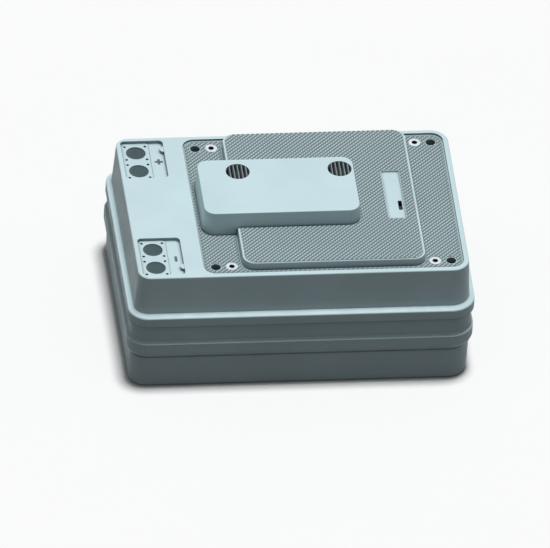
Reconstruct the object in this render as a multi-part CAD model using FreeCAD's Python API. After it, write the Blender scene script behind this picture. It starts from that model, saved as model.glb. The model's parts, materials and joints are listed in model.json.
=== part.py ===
import FreeCAD, Part
import math
import os

os.makedirs("parts", exist_ok=True)
V = FreeCAD.Vector

# Battery pack case, mm. The origin lies under the middle of the case, +X runs along it
# towards the plain end, +Y towards the positive pole and +Z up. "Out" is how far a wall
# stands outside the sharp rim edge that closes the top.

# ---- Case outline ----
RIM_LENGTH = 496.5
RIM_WIDTH = 336.5
LEFT_CORNER_R = 18.5
RIGHT_CORNER_R = 26.0
WALL = 4.0

BAND_OUT = 11.75
GROOVE_OUT = 7.3
UPPER_FOOT_OUT = 3.5
UNDERCUT_OUT = 6.4
FOOT_OUT = 5.0

# Heights of the wall's stretches, from the floor up
FOOT_WALL_HIGH = 52.1
UNDERCUT_HIGH = 13.7
LOWER_BAND_HIGH = 16.5
GROOVE_HIGH = 28.55
UPPER_BAND_HIGH = 15.9
LEDGE_HIGH = 4.0
UPPER_WALL_HIGH = 64.8

FOOT_FILLET = 2.5
BAND_FILLET = 2.5
RIM_FILLET = 2.2

# ---- Joint between the two halves ----
TONGUE_HIGH = 9.7
TONGUE_CLEAR = 0.15
SEAL_HIGH = 2.0
SEAL_SIDE_CLEAR = 0.4

# ---- Top of the upper case ----
TERMINAL_LAND = 98.6
RIM_LAND = 7.5
RECESS_DEPTH = 3.0
RECESS_CORNER_R = 18.0

# Case screws in deep wells, and the threaded inserts beside them
SCREW_INSET = 18.85
WELL_R = 7.5
WELL_WALL = 3.0
WELL_FLOOR = 4.0
CASE_SCREW_R = 3.0
CASE_SCREW_GRIP = 24.0
CASE_HEAD_R = 6.0
CASE_HEAD_HIGH = 5.0
CASE_SOCKET_R = 2.5
CASE_SOCKET_DEPTH = 3.0
SCREW_CLEAR = 0.3
POST_R = 8.0
POST_RIB = 3.0
POST_RIB_DROP = 15.0

INSERT_PITCH = 24.0
INSERT_BORE_R = 4.25
INSERT_R = 6.5
INSERT_LONG = 16.0
INSERT_FLANGE_R = 9.0
INSERT_FLANGE = 0.8
INSERT_BOSS_WALL = 3.0
INSERT_FIT = 0.05

# ---- Platform and label pocket ----
PLATFORM_HIGH = 13.0
PLATFORM_LEFT = 59.55
PLATFORM_RIGHT = 57.75
PLATFORM_FRONT = 9.25
PLATFORM_BACK = 2.45
PLATFORM_R = 18.0
PLATFORM_DRAFT = 5.0
PLATFORM_FILLET = 1.0

LABEL_LONG = 112.0
LABEL_WIDE = 26.0
LABEL_FROM_EDGE = 19.0
LABEL_Y = 3.5
LABEL_DEPTH = 1.8
LABEL_R = 1.5

# ---- Electronics cover ----
COVER_LEFT = 9.85
COVER_LONG = 232.8
COVER_WIDE = 128.4
COVER_HIGH = 39.5
COVER_R = 17.0
COVER_DRAFT = 4.0
COVER_WALL = 2.5
COVER_FILLET = 1.2
COVER_CLEAR = 0.2
WELL_SKIRT = 3.0
COVER_FLANGE = 14.0
COVER_BOSS_R = 4.5
COVER_BOSS_HIGH = 14.0
COVER_BOSS_INSET = 7.5
COVER_SCREW_R = 1.75
COVER_SCREW_LONG = 12.0
COVER_HEAD_R = 3.4
COVER_HEAD_HIGH = 2.2

# ---- Round vents and the fans under them ----
VENT_Y = 35.5
LEFT_VENT_FROM_END = 59.2
RIGHT_VENT_FROM_END = 21.0
GRILLE_FIT = 0.15
GRILLE_DROP = 0.5
GRILLE_RING = 1.5
GRILLE_RING_WIDE = 1.6
GRILLE_LIP = 0.4
GRILLE_SIDE_CLEAR = 0.1
SLAT_COUNT = 5
SLAT_PITCH = 6.1
SLAT_THICK = 1.6
SLAT_LEAN = 2.0

FAN_SCREW_PITCH = 29.0
FAN_CORNER_R = 3.0
FAN_RIM = 0.9
FAN_DEEP = 10.0
FAN_SCREW_R = 1.25
FAN_SCREW_BITE = 2.5
FAN_HEAD_R = 2.3
FAN_HEAD_HIGH = 1.4
FAN_BOSS_R = 2.0
FAN_HUB_R = 8.5
FAN_BASE_HIGH = 2.4
FAN_STRUT = 1.8
FAN_STRUTS = 3
FAN_SHAFT_R = 1.0
BEARING_CLEAR = 0.03
FAN_END_CLEAR = 0.4
FAN_TIP_CLEAR = 0.6
FAN_BLADES = 7
FAN_BLADE_CHORD = 6.4
FAN_BLADE_THICK = 0.8
FAN_BLADE_PITCH = 38.0

# ---- Terminal pockets, sockets and contacts ----
POCKET_LONG = 63.8
POCKET_WIDE = 88.9
POCKET_FROM_END = 6.55
POCKET_FROM_MIDDLE = 72.1
POCKET_DEPTH = 5.5
POCKET_R = 6.5
POCKET_PAD = 8.5
POCKET_BOSS_R = 6.0
POCKET_BOSS_FROM_MIDDLE = 140.5
POCKET_BOSS_DROP = 0.6

PLATE_LONG = 41.2
PLATE_GAP = 0.6
PLATE_THICK = 3.0
PLATE_PROUD = 1.0
PLATE_R = 5.0

SOCKET_R = 14.75
SOCKET_WALL = 2.4
SOCKET_FLANGE = 1.8
SOCKET_FLANGE_THICK = 1.5
SOCKET_DEEP = 36.0
SOCKET_FLOOR = 3.0
SOCKET_FIT = 0.05
SOCKET_PITCH = 43.0
SOCKET_FROM_MIDDLE = 94.5
SOCKET_FROM_POCKET = 21.7
FIXING_PITCH = 30.6
FIXING_R = 2.1
FIXING_DEPTH = 5.0

CONTACT_R = 9.0
CONTACT_THICK = 4.0
STUD_R = 5.0
STUD_NUT_HIGH = 8.0
STUD_NUT_FLATS = 16.0
STUD_END = 2.0

# ---- Slide switch in the label pocket ----
SLOT_LONG = 22.0
SLOT_WIDE = 6.0
SLOT_FROM_EDGE = 24.7
SLOT_Y = -20.6
KNOB_LONG = 9.0
KNOB_SIDE_CLEAR = 0.25
KNOB_END_CLEAR = 0.5
KNOB_DROP = 0.5
SWITCH_WALL = 2.0
SWITCH_DEEP = 8.0
SWITCH_FLOOR = 1.5
SLIDER_FOOT = 3.0
SLIDER_FOOT_WIDE = 8.0
SLIDER_CLEAR = 0.1
SWITCH_EAR = 7.0
SWITCH_EAR_THICK = 2.0
SWITCH_SCREW_R = 1.0
SWITCH_SCREW_BITE = 2.5
SWITCH_HEAD_R = 1.9
SWITCH_HEAD_HIGH = 1.2

# ---- Control board inside the cover ----
BOARD_LONG = 170.0
BOARD_WIDE = 112.0
BOARD_THICK = 1.6
STANDOFF_HIGH = 7.0
STANDOFF_R = 3.2
BOARD_SCREW_R = 1.5
BOARD_SCREW_INSET = 4.0
BOARD_HEAD_R = 2.6
BOARD_HEAD_HIGH = 1.8
SINK_LONG = 60.0
SINK_WIDE = 46.0
SINK_BASE = 3.0
SINK_HIGH = 14.0
SINK_FIN = 1.6
SINK_FINS = 7
CHIP_THICK = 2.6
CHIP_SIZE = 14.0
CHIP_COUNT = 4
CHIP_PITCH = 20.0

# ---- Cell block ----
CELL_THICK = 26.0
CELL_WIDE = 148.0
CELL_HIGH = 98.0
CELL_GAP = 0.5
ROW_GAP = 3.0
CELL_PAD = 14.0
CELL_PAD_HIGH = 3.0
CELL_PAD_OFFSET = 49.0
SEAT_RIB_HIGH = 4.0
SEAT_RIB = 3.0
SEAT_RIBS = 3
FOAM_THICK = 2.0
LINK_THICK = 2.0
LINK_WIDE = 20.0
END_PLATE = 6.0
END_PLATE_SKIN = 2.5
END_PLATE_RIBS = 7
END_PLATE_DROP = 4.0
BLOCK_CLEAR = 2.5
SIDE_PLATE = 1.5
SHIELD_THICK = 1.5
SHIELD_EDGE = 2.0

# ---- Power parts at the terminal end ----
BAR_WIDE = 20.0
BAR_THICK = 3.0
COLLECTOR_EDGE = 12.0
CONTACTOR_SIZE = 56.0
CONTACTOR_FROM_END = 48.0
CONTACTOR_CORNER_R = 6.0
POWER_PITCH = 37.0
POWER_BOSS_R = 8.0
POWER_BOSS_HIGH = 7.0
POWER_BOLT_R = 3.0
POWER_BOLT_BITE = 10.0
POWER_HEAD_FLATS = 10.0
POWER_HEAD_HIGH = 4.0
FUSE_BODY_R = 9.0
FUSE_GAP = 3.0

SHEET_CLEAR = 0.1
DEEP = 600.0

# ---- Heights worked out from the sizes above ----
z_undercut = FOOT_WALL_HIGH
z_band = z_undercut + UNDERCUT_HIGH
z_chamfer = z_band + LOWER_BAND_HIGH
z_groove = z_chamfer + BAND_OUT - GROOVE_OUT
z_split = z_groove + GROOVE_HIGH
z_ledge = z_split + UPPER_BAND_HIGH
z_upper = z_ledge + LEDGE_HIGH
z_rim = z_upper + UPPER_WALL_HIGH
z_tongue = z_split + TONGUE_HIGH
z_seat = z_tongue + SEAL_HIGH
z_recess = z_rim - RECESS_DEPTH
z_ceiling = z_recess - WALL
z_platform = z_recess + PLATFORM_HIGH
z_cover = z_recess + COVER_HIGH
z_well = z_split + WELL_FLOOR

# ---- Plan of the top ----
rim_x = RIM_LENGTH / 2
rim_y = RIM_WIDTH / 2
recess = (-rim_x + TERMINAL_LAND, rim_x - RIM_LAND, -rim_y + RIM_LAND, rim_y - RIM_LAND)
screw_x = (recess[0] + SCREW_INSET, recess[1] - SCREW_INSET)
screw_y = recess[3] - SCREW_INSET
insert_x = (screw_x[0] + INSERT_PITCH, screw_x[1] - INSERT_PITCH)
screw_places = [(x, side * screw_y) for x in screw_x for side in (-1, 1)]
insert_places = [(x, side * screw_y) for x in insert_x for side in (-1, 1)]
platform = (recess[0] + PLATFORM_LEFT, recess[1] - PLATFORM_RIGHT,
            recess[2] + PLATFORM_FRONT, recess[3] - PLATFORM_BACK)
cover_x = recess[0] + COVER_LEFT
cover = (cover_x, cover_x + COVER_LONG, -COVER_WIDE / 2, COVER_WIDE / 2)
vents = {"left": (cover[0] + LEFT_VENT_FROM_END, VENT_Y),
         "right": (cover[1] - RIGHT_VENT_FROM_END, VENT_Y)}


# ---- Shapes that several pieces share ----
def rounded(box, z, r_left, r_right=None):
    """Closed wire of a rectangle (x0, x1, y0, y1) at height z, with round corners."""
    x0, x1, y0, y1 = box
    r_right = r_left if r_right is None else r_right
    corners = [(x1 - r_right, y0 + r_right, r_right, -90), (x1 - r_right, y1 - r_right, r_right, 0),
               (x0 + r_left, y1 - r_left, r_left, 90), (x0 + r_left, y0 + r_left, r_left, 180)]
    edges = []
    last = None
    first = None
    for cx, cy, r, start in corners:
        arc = Part.makeCircle(r, V(cx, cy, z), V(0, 0, 1), start, start + 90)
        begin, end = arc.valueAt(arc.FirstParameter), arc.valueAt(arc.LastParameter)
        if last is not None:
            edges.append(Part.makeLine(last, begin))
        first = begin if first is None else first
        edges.append(arc)
        last = end
    edges.append(Part.makeLine(last, first))
    return Part.Wire(edges)


def grown(box, out):
    """Rectangle moved outwards on all four sides."""
    return (box[0] - out, box[1] + out, box[2] - out, box[3] + out)


def slab(box, z0, z1, r):
    """Upright plate or block with round corners."""
    return Part.Face(rounded(box, z0, r)).extrude(V(0, 0, z1 - z0))


def plain(x0, x1, y0, y1, z0, z1):
    """Square-cornered block."""
    return Part.makeBox(x1 - x0, y1 - y0, z1 - z0, V(x0, y0, z0))


def hood(box, z0, z1, r, draft, out=0.0):
    """Block whose walls lean in by draft degrees; box is its outline at the top z1."""
    spread = (z1 - z0) * math.tan(math.radians(draft))
    foot = rounded(grown(box, out + spread), z0, r + out + spread)
    return Part.makeLoft([foot, rounded(grown(box, out), z1, r + out)], True, True)


def outline(out, z):
    """Outline of the case at one height, standing out from the rim edge."""
    box = (-rim_x - out, rim_x + out, -rim_y - out, rim_y + out)
    return rounded(box, z, LEFT_CORNER_R + out, RIGHT_CORNER_R + out)


def shell(levels):
    """Solid through the outlines of the case at (z, out) levels."""
    pieces = [Part.makeLoft([outline(a[1], a[0]), outline(b[1], b[0])], True, True)
              for a, b in zip(levels, levels[1:])]
    return pieces[0].multiFuse(pieces[1:]).removeSplitter() if pieces[1:] else pieces[0]


def peg(x, y, z0, z1, r):
    return Part.makeCylinder(r, z1 - z0, V(x, y, z0))


def hexagon(x, y, z0, z1, flats):
    """Hexagon across the given flats."""
    r = flats / math.sqrt(3)
    points = [V(x + r * math.cos(math.radians(a)), y + r * math.sin(math.radians(a)), z0)
              for a in range(0, 361, 60)]
    return Part.Face(Part.makePolygon(points)).extrude(V(0, 0, z1 - z0))


def joined(pieces):
    """One solid from pieces that touch or overlap."""
    return pieces[0].multiFuse(pieces[1:]).removeSplitter()


def mirrored(shape):
    """The same piece on the other side of the middle plane."""
    return shape.mirror(V(0, 0, 0), V(0, 1, 0))


def filleted(shape, radius, z, tolerance=0.01):
    """Round every outer edge that lies flat at height z."""
    edges = [e for e in shape.Edges
             if abs(e.BoundBox.ZMin - z) < tolerance and abs(e.BoundBox.ZMax - z) < tolerance]
    return shape.makeFillet(radius, edges)


def socket_screw(x, y, z_under_head, shank_r, shank_long, head_r, head_high, point=1):
    """Round-headed screw, its hex recess left to the finish; point is -1 where it points up."""
    head = Part.makeCylinder(head_r, head_high, V(x, y, z_under_head), V(0, 0, point))
    shank = Part.makeCylinder(shank_r, shank_long, V(x, y, z_under_head), V(0, 0, -point))
    return head.fuse(shank).removeSplitter()


# ---- Lower case ----
def base_cavity():
    return Part.makeLoft([outline(FOOT_OUT - WALL, WALL), outline(GROOVE_OUT - WALL, z_tongue)], True, True)


def seat_rib_lines():
    """Heights across the case where the ribs under each cell row run."""
    spread = CELL_WIDE / (SEAT_RIBS + 1)
    rows = (-1, 1)
    return [row * (ROW_GAP / 2 + spread * (i + 1)) for row in rows for i in range(SEAT_RIBS)]


def lower_case():
    outer = shell([(0, FOOT_OUT), (z_undercut, UNDERCUT_OUT), (z_band, BAND_OUT), (z_chamfer, BAND_OUT),
                   (z_groove, GROOVE_OUT), (z_tongue, GROOVE_OUT)])
    outer = filleted(outer, FOOT_FILLET, 0)
    body = outer.cut(base_cavity())
    wall_mid = (FOOT_OUT + GROOVE_OUT - WALL) / 2
    adds = []
    for x, y in screw_places:
        side = 1 if y > 0 else -1
        adds.append(peg(x, y, WALL / 2, z_split, POST_R))
        y_wall = side * (rim_y + wall_mid)
        adds.append(plain(x - POST_RIB / 2, x + POST_RIB / 2, min(y, y_wall), max(y, y_wall),
                          WALL / 2, z_split - POST_RIB_DROP))
        if x > 0:
            adds.append(plain(x, rim_x + wall_mid, y - POST_RIB / 2, y + POST_RIB / 2,
                              WALL / 2, z_split - POST_RIB_DROP))
    for y in seat_rib_lines():
        adds.append(plain(block[0], block[1], y - SEAT_RIB / 2, y + SEAT_RIB / 2, WALL / 2,
                          WALL + SEAT_RIB_HIGH))
    body = body.multiFuse(adds)
    pilot_z = z_well - CASE_SCREW_GRIP - 1
    holes = [peg(x, y, pilot_z, z_split + 1, CASE_SCREW_R) for x, y in screw_places]
    return body.cut(holes).removeSplitter()


# ---- Upper case ----
pocket_x = (-rim_x + POCKET_FROM_END, -rim_x + POCKET_FROM_END + POCKET_LONG)
pocket = (pocket_x[0], pocket_x[1], POCKET_FROM_MIDDLE, POCKET_FROM_MIDDLE + POCKET_WIDE)
z_pocket = z_rim - POCKET_DEPTH
z_plate_top = z_pocket + PLATE_PROUD
z_plate = z_plate_top - PLATE_THICK
z_pad = z_plate - POCKET_PAD
plate_seat = (pocket[0], pocket[0] + PLATE_LONG + 2 * PLATE_GAP, pocket[2], pocket[3])
socket_x = pocket[0] + SOCKET_FROM_POCKET
socket_ys = (SOCKET_FROM_MIDDLE, SOCKET_FROM_MIDDLE + SOCKET_PITCH)
label_x1 = platform[1] - LABEL_FROM_EDGE
label = (label_x1 - LABEL_WIDE, label_x1, LABEL_Y - LABEL_LONG / 2, LABEL_Y + LABEL_LONG / 2)
z_label = z_platform - LABEL_DEPTH
z_label_under = z_label - WALL
slot_x = platform[1] - SLOT_FROM_EDGE
half = FIXING_PITCH / 2
fixing_places = [(socket_x + i * half, y + j * half)
                 for y in socket_ys for i in (-1, 1) for j in (-1, 1)]


def slot_shape(z0, z1):
    box = (slot_x - SLOT_WIDE / 2, slot_x + SLOT_WIDE / 2, SLOT_Y - SLOT_LONG / 2, SLOT_Y + SLOT_LONG / 2)
    return slab(box, z0, z1, LABEL_R)


def terminal_tools():
    """Cuts of the positive pocket: pocket, plate seat, socket holes and fixing holes."""
    tools = [slab(pocket, z_pocket, z_rim + 1, POCKET_R)]
    tools.append(slab(plate_seat, z_plate, z_rim + 1, POCKET_R))
    for y in socket_ys:
        tools.append(peg(socket_x, y, z_pad - 1, z_rim, SOCKET_R + SOCKET_WALL + SOCKET_FIT))
        flange_r = SOCKET_R + SOCKET_WALL + SOCKET_FLANGE + SOCKET_FIT
        tools.append(peg(socket_x, y, z_plate - SOCKET_FLANGE_THICK, z_rim, flange_r))
    tools += [peg(x, y, z_plate - FIXING_DEPTH, z_rim, FIXING_R) for x, y in fixing_places]
    return tools


def pocket_boss():
    """Half-round boss against the inner end wall of the positive pocket."""
    return peg(pocket[1], POCKET_BOSS_FROM_MIDDLE, z_pocket - 1, z_rim - POCKET_BOSS_DROP, POCKET_BOSS_R)


def upper_case():
    outer = shell([(z_split, BAND_OUT), (z_ledge, BAND_OUT), (z_upper, UPPER_FOOT_OUT), (z_rim, 0)])
    outer = filleted(outer, RIM_FILLET, z_rim)
    outer = filleted(outer, BAND_FILLET, z_ledge)
    body = outer.cut(slab(recess, z_recess, z_rim + 1, RECESS_CORNER_R))
    table = hood(platform, z_recess - 1, z_platform, PLATFORM_R, PLATFORM_DRAFT)
    body = body.fuse(filleted(table, PLATFORM_FILLET, z_platform))
    # room inside: the tongue of the lower case, the main space, and the space under the platform
    tongue = Part.Face(outline(GROOVE_OUT + TONGUE_CLEAR, z_split)).extrude(V(0, 0, z_seat - z_split))
    space = Part.makeLoft([outline(UPPER_FOOT_OUT - WALL, z_seat), outline(-WALL, z_ceiling)], True, True)
    under = hood(grown(platform, -WALL), z_ceiling - 1, z_platform - WALL, PLATFORM_R - WALL, PLATFORM_DRAFT)
    under = under.cut(hood(cover, z_ceiling - 2, z_platform, COVER_R, COVER_DRAFT, COVER_CLEAR + WELL_SKIRT))
    pad_label = slab(grown(label, WALL), z_label_under, z_platform, LABEL_R + WALL)
    under = under.cut(pad_label)
    land = (-rim_x + 2 * WALL, recess[0] - WALL, -POCKET_FROM_MIDDLE + WALL, POCKET_FROM_MIDDLE - WALL)
    body = body.cut([tongue, space, under, slab(land, z_ceiling - 1, z_rim - WALL, WALL)])
    # thick pads under the two terminal pockets, and bosses for the wells and inserts
    pad = slab(grown(pocket, WALL / 2), z_pad, z_ceiling + 1, POCKET_R)
    pad = pad.common(Part.makeLoft([outline(-WALL / 2, z_pad), outline(-WALL / 2, z_ceiling + 1)], True, True))
    adds = [pad, mirrored(pad)]
    adds += [peg(x, y, z_split, z_ceiling + 1, WELL_R + WELL_WALL) for x, y in screw_places]
    boss_r = INSERT_R + INSERT_BOSS_WALL
    adds += [peg(x, y, z_recess - INSERT_LONG - WALL, z_ceiling + 1, boss_r) for x, y in insert_places]
    body = body.multiFuse(adds)
    tools = terminal_tools()
    tools += [mirrored(tool) for tool in tools]
    tools += [peg(x, y, z_well, z_rim, WELL_R) for x, y in screw_places]
    tools += [peg(x, y, z_split - 1, z_rim, CASE_SCREW_R + SCREW_CLEAR) for x, y in screw_places]
    tools += [peg(x, y, z_recess - INSERT_LONG, z_rim, INSERT_R + INSERT_FIT) for x, y in insert_places]
    tools.append(slab(label, z_label, z_platform + 1, LABEL_R))
    tools.append(slot_shape(z_label_under - 1, z_platform))
    tools.append(hood(cover, z_recess, z_cover, COVER_R, COVER_DRAFT, COVER_CLEAR))
    tools.append(slab(cover_window, z_ceiling - 1, z_recess + 1, COVER_R))
    tools += [peg(x, y, z_ceiling - 1, z_recess + 1, COVER_SCREW_R + SCREW_CLEAR) for x, y in cover_bosses]
    tools += [peg(x, y, z_ceiling - 1, z_recess + 1, BOARD_SCREW_R) for x, y in board_places]
    tools += [peg(slot_x, y, z_label_under - 1, z_label_under + SWITCH_SCREW_BITE, SWITCH_SCREW_R)
              for y in switch_screw_ys]
    body = body.cut(tools)
    bosses = pocket_boss()
    return body.multiFuse([bosses, mirrored(bosses)]).removeSplitter()


def case_seal():
    ring = Part.Face(outline(GROOVE_OUT - SEAL_SIDE_CLEAR, z_tongue)).extrude(V(0, 0, SEAL_HIGH))
    inner = outline(GROOVE_OUT - WALL + SEAL_SIDE_CLEAR, z_tongue - 1)
    return ring.cut(Part.Face(inner).extrude(V(0, 0, SEAL_HIGH + 2)))


def case_screws():
    screws = []
    for x, y in screw_places:
        screw = socket_screw(x, y, z_well, CASE_SCREW_R, CASE_SCREW_GRIP, CASE_HEAD_R, CASE_HEAD_HIGH)
        top = z_well + CASE_HEAD_HIGH
        screws.append(screw.cut(hexagon(x, y, top - CASE_SOCKET_DEPTH, top + 1, 2 * CASE_SOCKET_R)))
    return screws


def threaded_inserts():
    inserts = []
    for x, y in insert_places:
        body = peg(x, y, z_recess - INSERT_LONG, z_recess, INSERT_R)
        body = body.fuse(peg(x, y, z_recess, z_recess + INSERT_FLANGE, INSERT_FLANGE_R))
        inserts.append(body.cut(peg(x, y, z_recess - DEEP, z_rim, INSERT_BORE_R)).removeSplitter())
    return inserts


# ---- Terminals, built at the positive side and mirrored for the negative one ----
z_contact = z_plate_top - SOCKET_DEEP
z_socket_floor = z_contact - CONTACT_THICK
z_socket_under = z_socket_floor - SOCKET_FLOOR
z_collector = z_socket_under - BAR_THICK


def terminal_plate():
    plate = slab(grown(plate_seat, -PLATE_GAP), z_plate, z_plate_top, PLATE_R)
    holes = [peg(socket_x, y, z_plate - 1, z_rim, SOCKET_R) for y in socket_ys]
    holes += [peg(x, y, z_plate - 1, z_rim, FIXING_R) for x, y in fixing_places]
    return plate.cut(holes)


def terminal_socket(y):
    """Insulated cup that hangs by its flange, its floor sunk for the contact and holed for the stud."""
    cup = peg(socket_x, y, z_socket_under, z_plate, SOCKET_R + SOCKET_WALL)
    flange = peg(socket_x, y, z_plate - SOCKET_FLANGE_THICK, z_plate, SOCKET_R + SOCKET_WALL + SOCKET_FLANGE)
    body = cup.fuse(flange)
    return body.cut([peg(socket_x, y, z_contact, z_rim, SOCKET_R),
                     peg(socket_x, y, z_socket_floor, z_rim, CONTACT_R + SOCKET_FIT),
                     peg(socket_x, y, z_socket_under - 1, z_rim, STUD_R + SOCKET_FIT)]).removeSplitter()


def terminal_contact(y):
    stud_end = z_collector - STUD_NUT_HIGH - STUD_END
    stud = peg(socket_x, y, stud_end, z_contact, STUD_R)
    return stud.fuse(peg(socket_x, y, z_socket_floor, z_contact, CONTACT_R)).removeSplitter()


def contact_nuts(side):
    nuts = []
    for y in socket_ys:
        nut = hexagon(socket_x, side * y, z_collector - STUD_NUT_HIGH, z_collector, STUD_NUT_FLATS)
        nuts.append(nut.cut(peg(socket_x, side * y, 0, z_rim, STUD_R + SOCKET_FIT)))
    return nuts


# ---- Electronics cover, vents and fans ----
cover_spread = COVER_HIGH * math.tan(math.radians(COVER_DRAFT))
cover_foot = grown(cover, cover_spread)
cover_inside = grown(cover_foot, -COVER_WALL)
cover_window = grown(cover_inside, -COVER_FLANGE)
boss_in = COVER_BOSS_INSET + COVER_BOSS_R
cover_bosses = [(x, y) for x in (cover_inside[0] + boss_in, cover_inside[1] - boss_in)
                for y in (cover_inside[2] + boss_in, cover_inside[3] - boss_in)]
z_cover_in = z_cover - COVER_WALL
z_fan_top = z_cover_in - GRILLE_RING
z_fan = z_fan_top - FAN_DEEP
fan_corners = [(i * FAN_SCREW_PITCH / 2, j * FAN_SCREW_PITCH / 2) for i in (-1, 1) for j in (-1, 1)]
fan_edge = FAN_SCREW_PITCH / 2 + FAN_CORNER_R
fan_bore_r = fan_edge - FAN_RIM
ring_r = FAN_SCREW_PITCH / math.sqrt(2) - FAN_BOSS_R - GRILLE_SIDE_CLEAR
vent_r = ring_r - GRILLE_LIP


def electronics_cover():
    outer = filleted(hood(cover, z_recess, z_cover, COVER_R, COVER_DRAFT), COVER_FILLET, z_cover)
    inner = hood(grown(cover, -COVER_WALL), z_recess, z_cover_in, COVER_R - COVER_WALL, COVER_DRAFT)
    body = outer.cut(inner)
    adds = [peg(x, y, z_recess, z_recess + COVER_BOSS_HIGH, COVER_BOSS_R) for x, y in cover_bosses]
    for x, y in cover_bosses:
        out_y = cover_inside[3] if y > 0 else cover_inside[2]
        adds.append(plain(x - 1, x + 1, min(y, out_y), max(y, out_y), z_recess, z_recess + COVER_BOSS_HIGH))
    for vx, vy in vents.values():
        adds += [peg(vx + i, vy + j, z_fan_top, z_cover_in + 1, FAN_BOSS_R) for i, j in fan_corners]
    adds = [add.common(outer) for add in adds]
    body = body.multiFuse(adds)
    tools = [peg(x, y, z_recess - 1, z_recess + COVER_SCREW_LONG - WALL + 1, COVER_SCREW_R)
             for x, y in cover_bosses]
    for vx, vy in vents.values():
        tools.append(peg(vx, vy, z_fan, z_cover + 1, vent_r))
        tools += [peg(vx + i, vy + j, z_fan, z_fan_top + FAN_SCREW_BITE, FAN_SCREW_R) for i, j in fan_corners]
    return body.cut(tools).removeSplitter()


def cover_screws():
    """Screws that come up through the floor of the well into the cover."""
    return [socket_screw(x, y, z_ceiling, COVER_SCREW_R, COVER_SCREW_LONG, COVER_HEAD_R, COVER_HEAD_HIGH, -1)
            for x, y in cover_bosses]


def vent_grille(vx, vy):
    """Ring under the cover's top with leaning slats that fill the round opening."""
    ring = peg(vx, vy, z_fan_top, z_cover_in, ring_r)
    ring = ring.cut(peg(vx, vy, z_fan, z_cover, ring_r - GRILLE_RING_WIDE))
    top = z_cover - GRILLE_DROP
    slats = []
    for i in range(SLAT_COUNT):
        x = vx + (i - (SLAT_COUNT - 1) / 2) * SLAT_PITCH
        left, right = x - SLAT_LEAN / 2 - SLAT_THICK / 2, x + SLAT_LEAN / 2 - SLAT_THICK / 2
        points = [V(right, vy - vent_r, top), V(right + SLAT_THICK, vy - vent_r, top),
                  V(left + SLAT_THICK, vy - vent_r, z_fan_top), V(left, vy - vent_r, z_fan_top),
                  V(right, vy - vent_r, top)]
        slats.append(Part.Face(Part.makePolygon(points)).extrude(V(0, 2 * vent_r, 0)))
    room = peg(vx, vy, z_fan_top, top, vent_r - GRILLE_FIT)
    return joined([ring] + [slat.common(room) for slat in slats])


def fan_frame(vx, vy):
    body = slab((vx - fan_edge, vx + fan_edge, vy - fan_edge, vy + fan_edge), z_fan, z_fan_top, FAN_CORNER_R)
    body = body.cut(peg(vx, vy, z_fan - 1, z_cover, fan_bore_r))
    adds = [peg(vx, vy, z_fan, z_fan + FAN_BASE_HIGH, FAN_HUB_R)]
    for i in range(FAN_STRUTS):
        strut = plain(vx, vx + fan_bore_r + 1, vy - FAN_STRUT / 2, vy + FAN_STRUT / 2, z_fan, z_fan + FAN_STRUT)
        strut.rotate(V(vx, vy, 0), V(0, 0, 1), 90 + i * 360 / FAN_STRUTS)
        adds.append(strut)
    body = body.multiFuse(adds)
    holes = [peg(vx + i, vy + j, z_fan - 1, z_cover, FAN_SCREW_R + BEARING_CLEAR) for i, j in fan_corners]
    holes.append(peg(vx, vy, z_fan + FAN_END_CLEAR, z_cover, FAN_SHAFT_R + BEARING_CLEAR))
    return body.cut(holes).removeSplitter()


def fan_rotor(vx, vy):
    low = z_fan + FAN_BASE_HIGH + FAN_END_CLEAR
    high = z_fan_top - FAN_END_CLEAR * 2
    tip_r = fan_bore_r - FAN_TIP_CLEAR
    hub = peg(vx, vy, low, high, FAN_HUB_R)
    shaft = peg(vx, vy, z_fan + 2 * FAN_END_CLEAR, low + 1, FAN_SHAFT_R)
    room = peg(vx, vy, low, high, tip_r)
    blades = []
    middle = (low + high) / 2
    for i in range(FAN_BLADES):
        blade = plain(vx + FAN_HUB_R - 1, vx + tip_r + 1, vy - FAN_BLADE_CHORD / 2, vy + FAN_BLADE_CHORD / 2,
                      middle - FAN_BLADE_THICK / 2, middle + FAN_BLADE_THICK / 2)
        blade.rotate(V(vx, vy, middle), V(1, 0, 0), FAN_BLADE_PITCH)
        blade.rotate(V(vx, vy, 0), V(0, 0, 1), i * 360 / FAN_BLADES)
        blades.append(blade.common(room))
    return joined([hub, shaft] + blades)


def fan_screws():
    return [socket_screw(vx + i, vy + j, z_fan, FAN_SCREW_R, FAN_DEEP + FAN_SCREW_BITE - 0.5,
                         FAN_HEAD_R, FAN_HEAD_HIGH, -1)
            for vx, vy in vents.values() for i, j in fan_corners]


# ---- Slide switch ----
knob_x = SLOT_WIDE / 2 - KNOB_SIDE_CLEAR
knob_y0 = SLOT_Y - SLOT_LONG / 2 + KNOB_END_CLEAR
switch_half_x = SLIDER_FOOT_WIDE / 2 + SLIDER_CLEAR + SWITCH_WALL
switch_half_y = SLOT_LONG / 2 + SWITCH_WALL + KNOB_END_CLEAR
ear_reach = switch_half_y + SWITCH_EAR
switch_screw_ys = [SLOT_Y + side * (switch_half_y + SWITCH_EAR / 2) for side in (-1, 1)]


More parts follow.
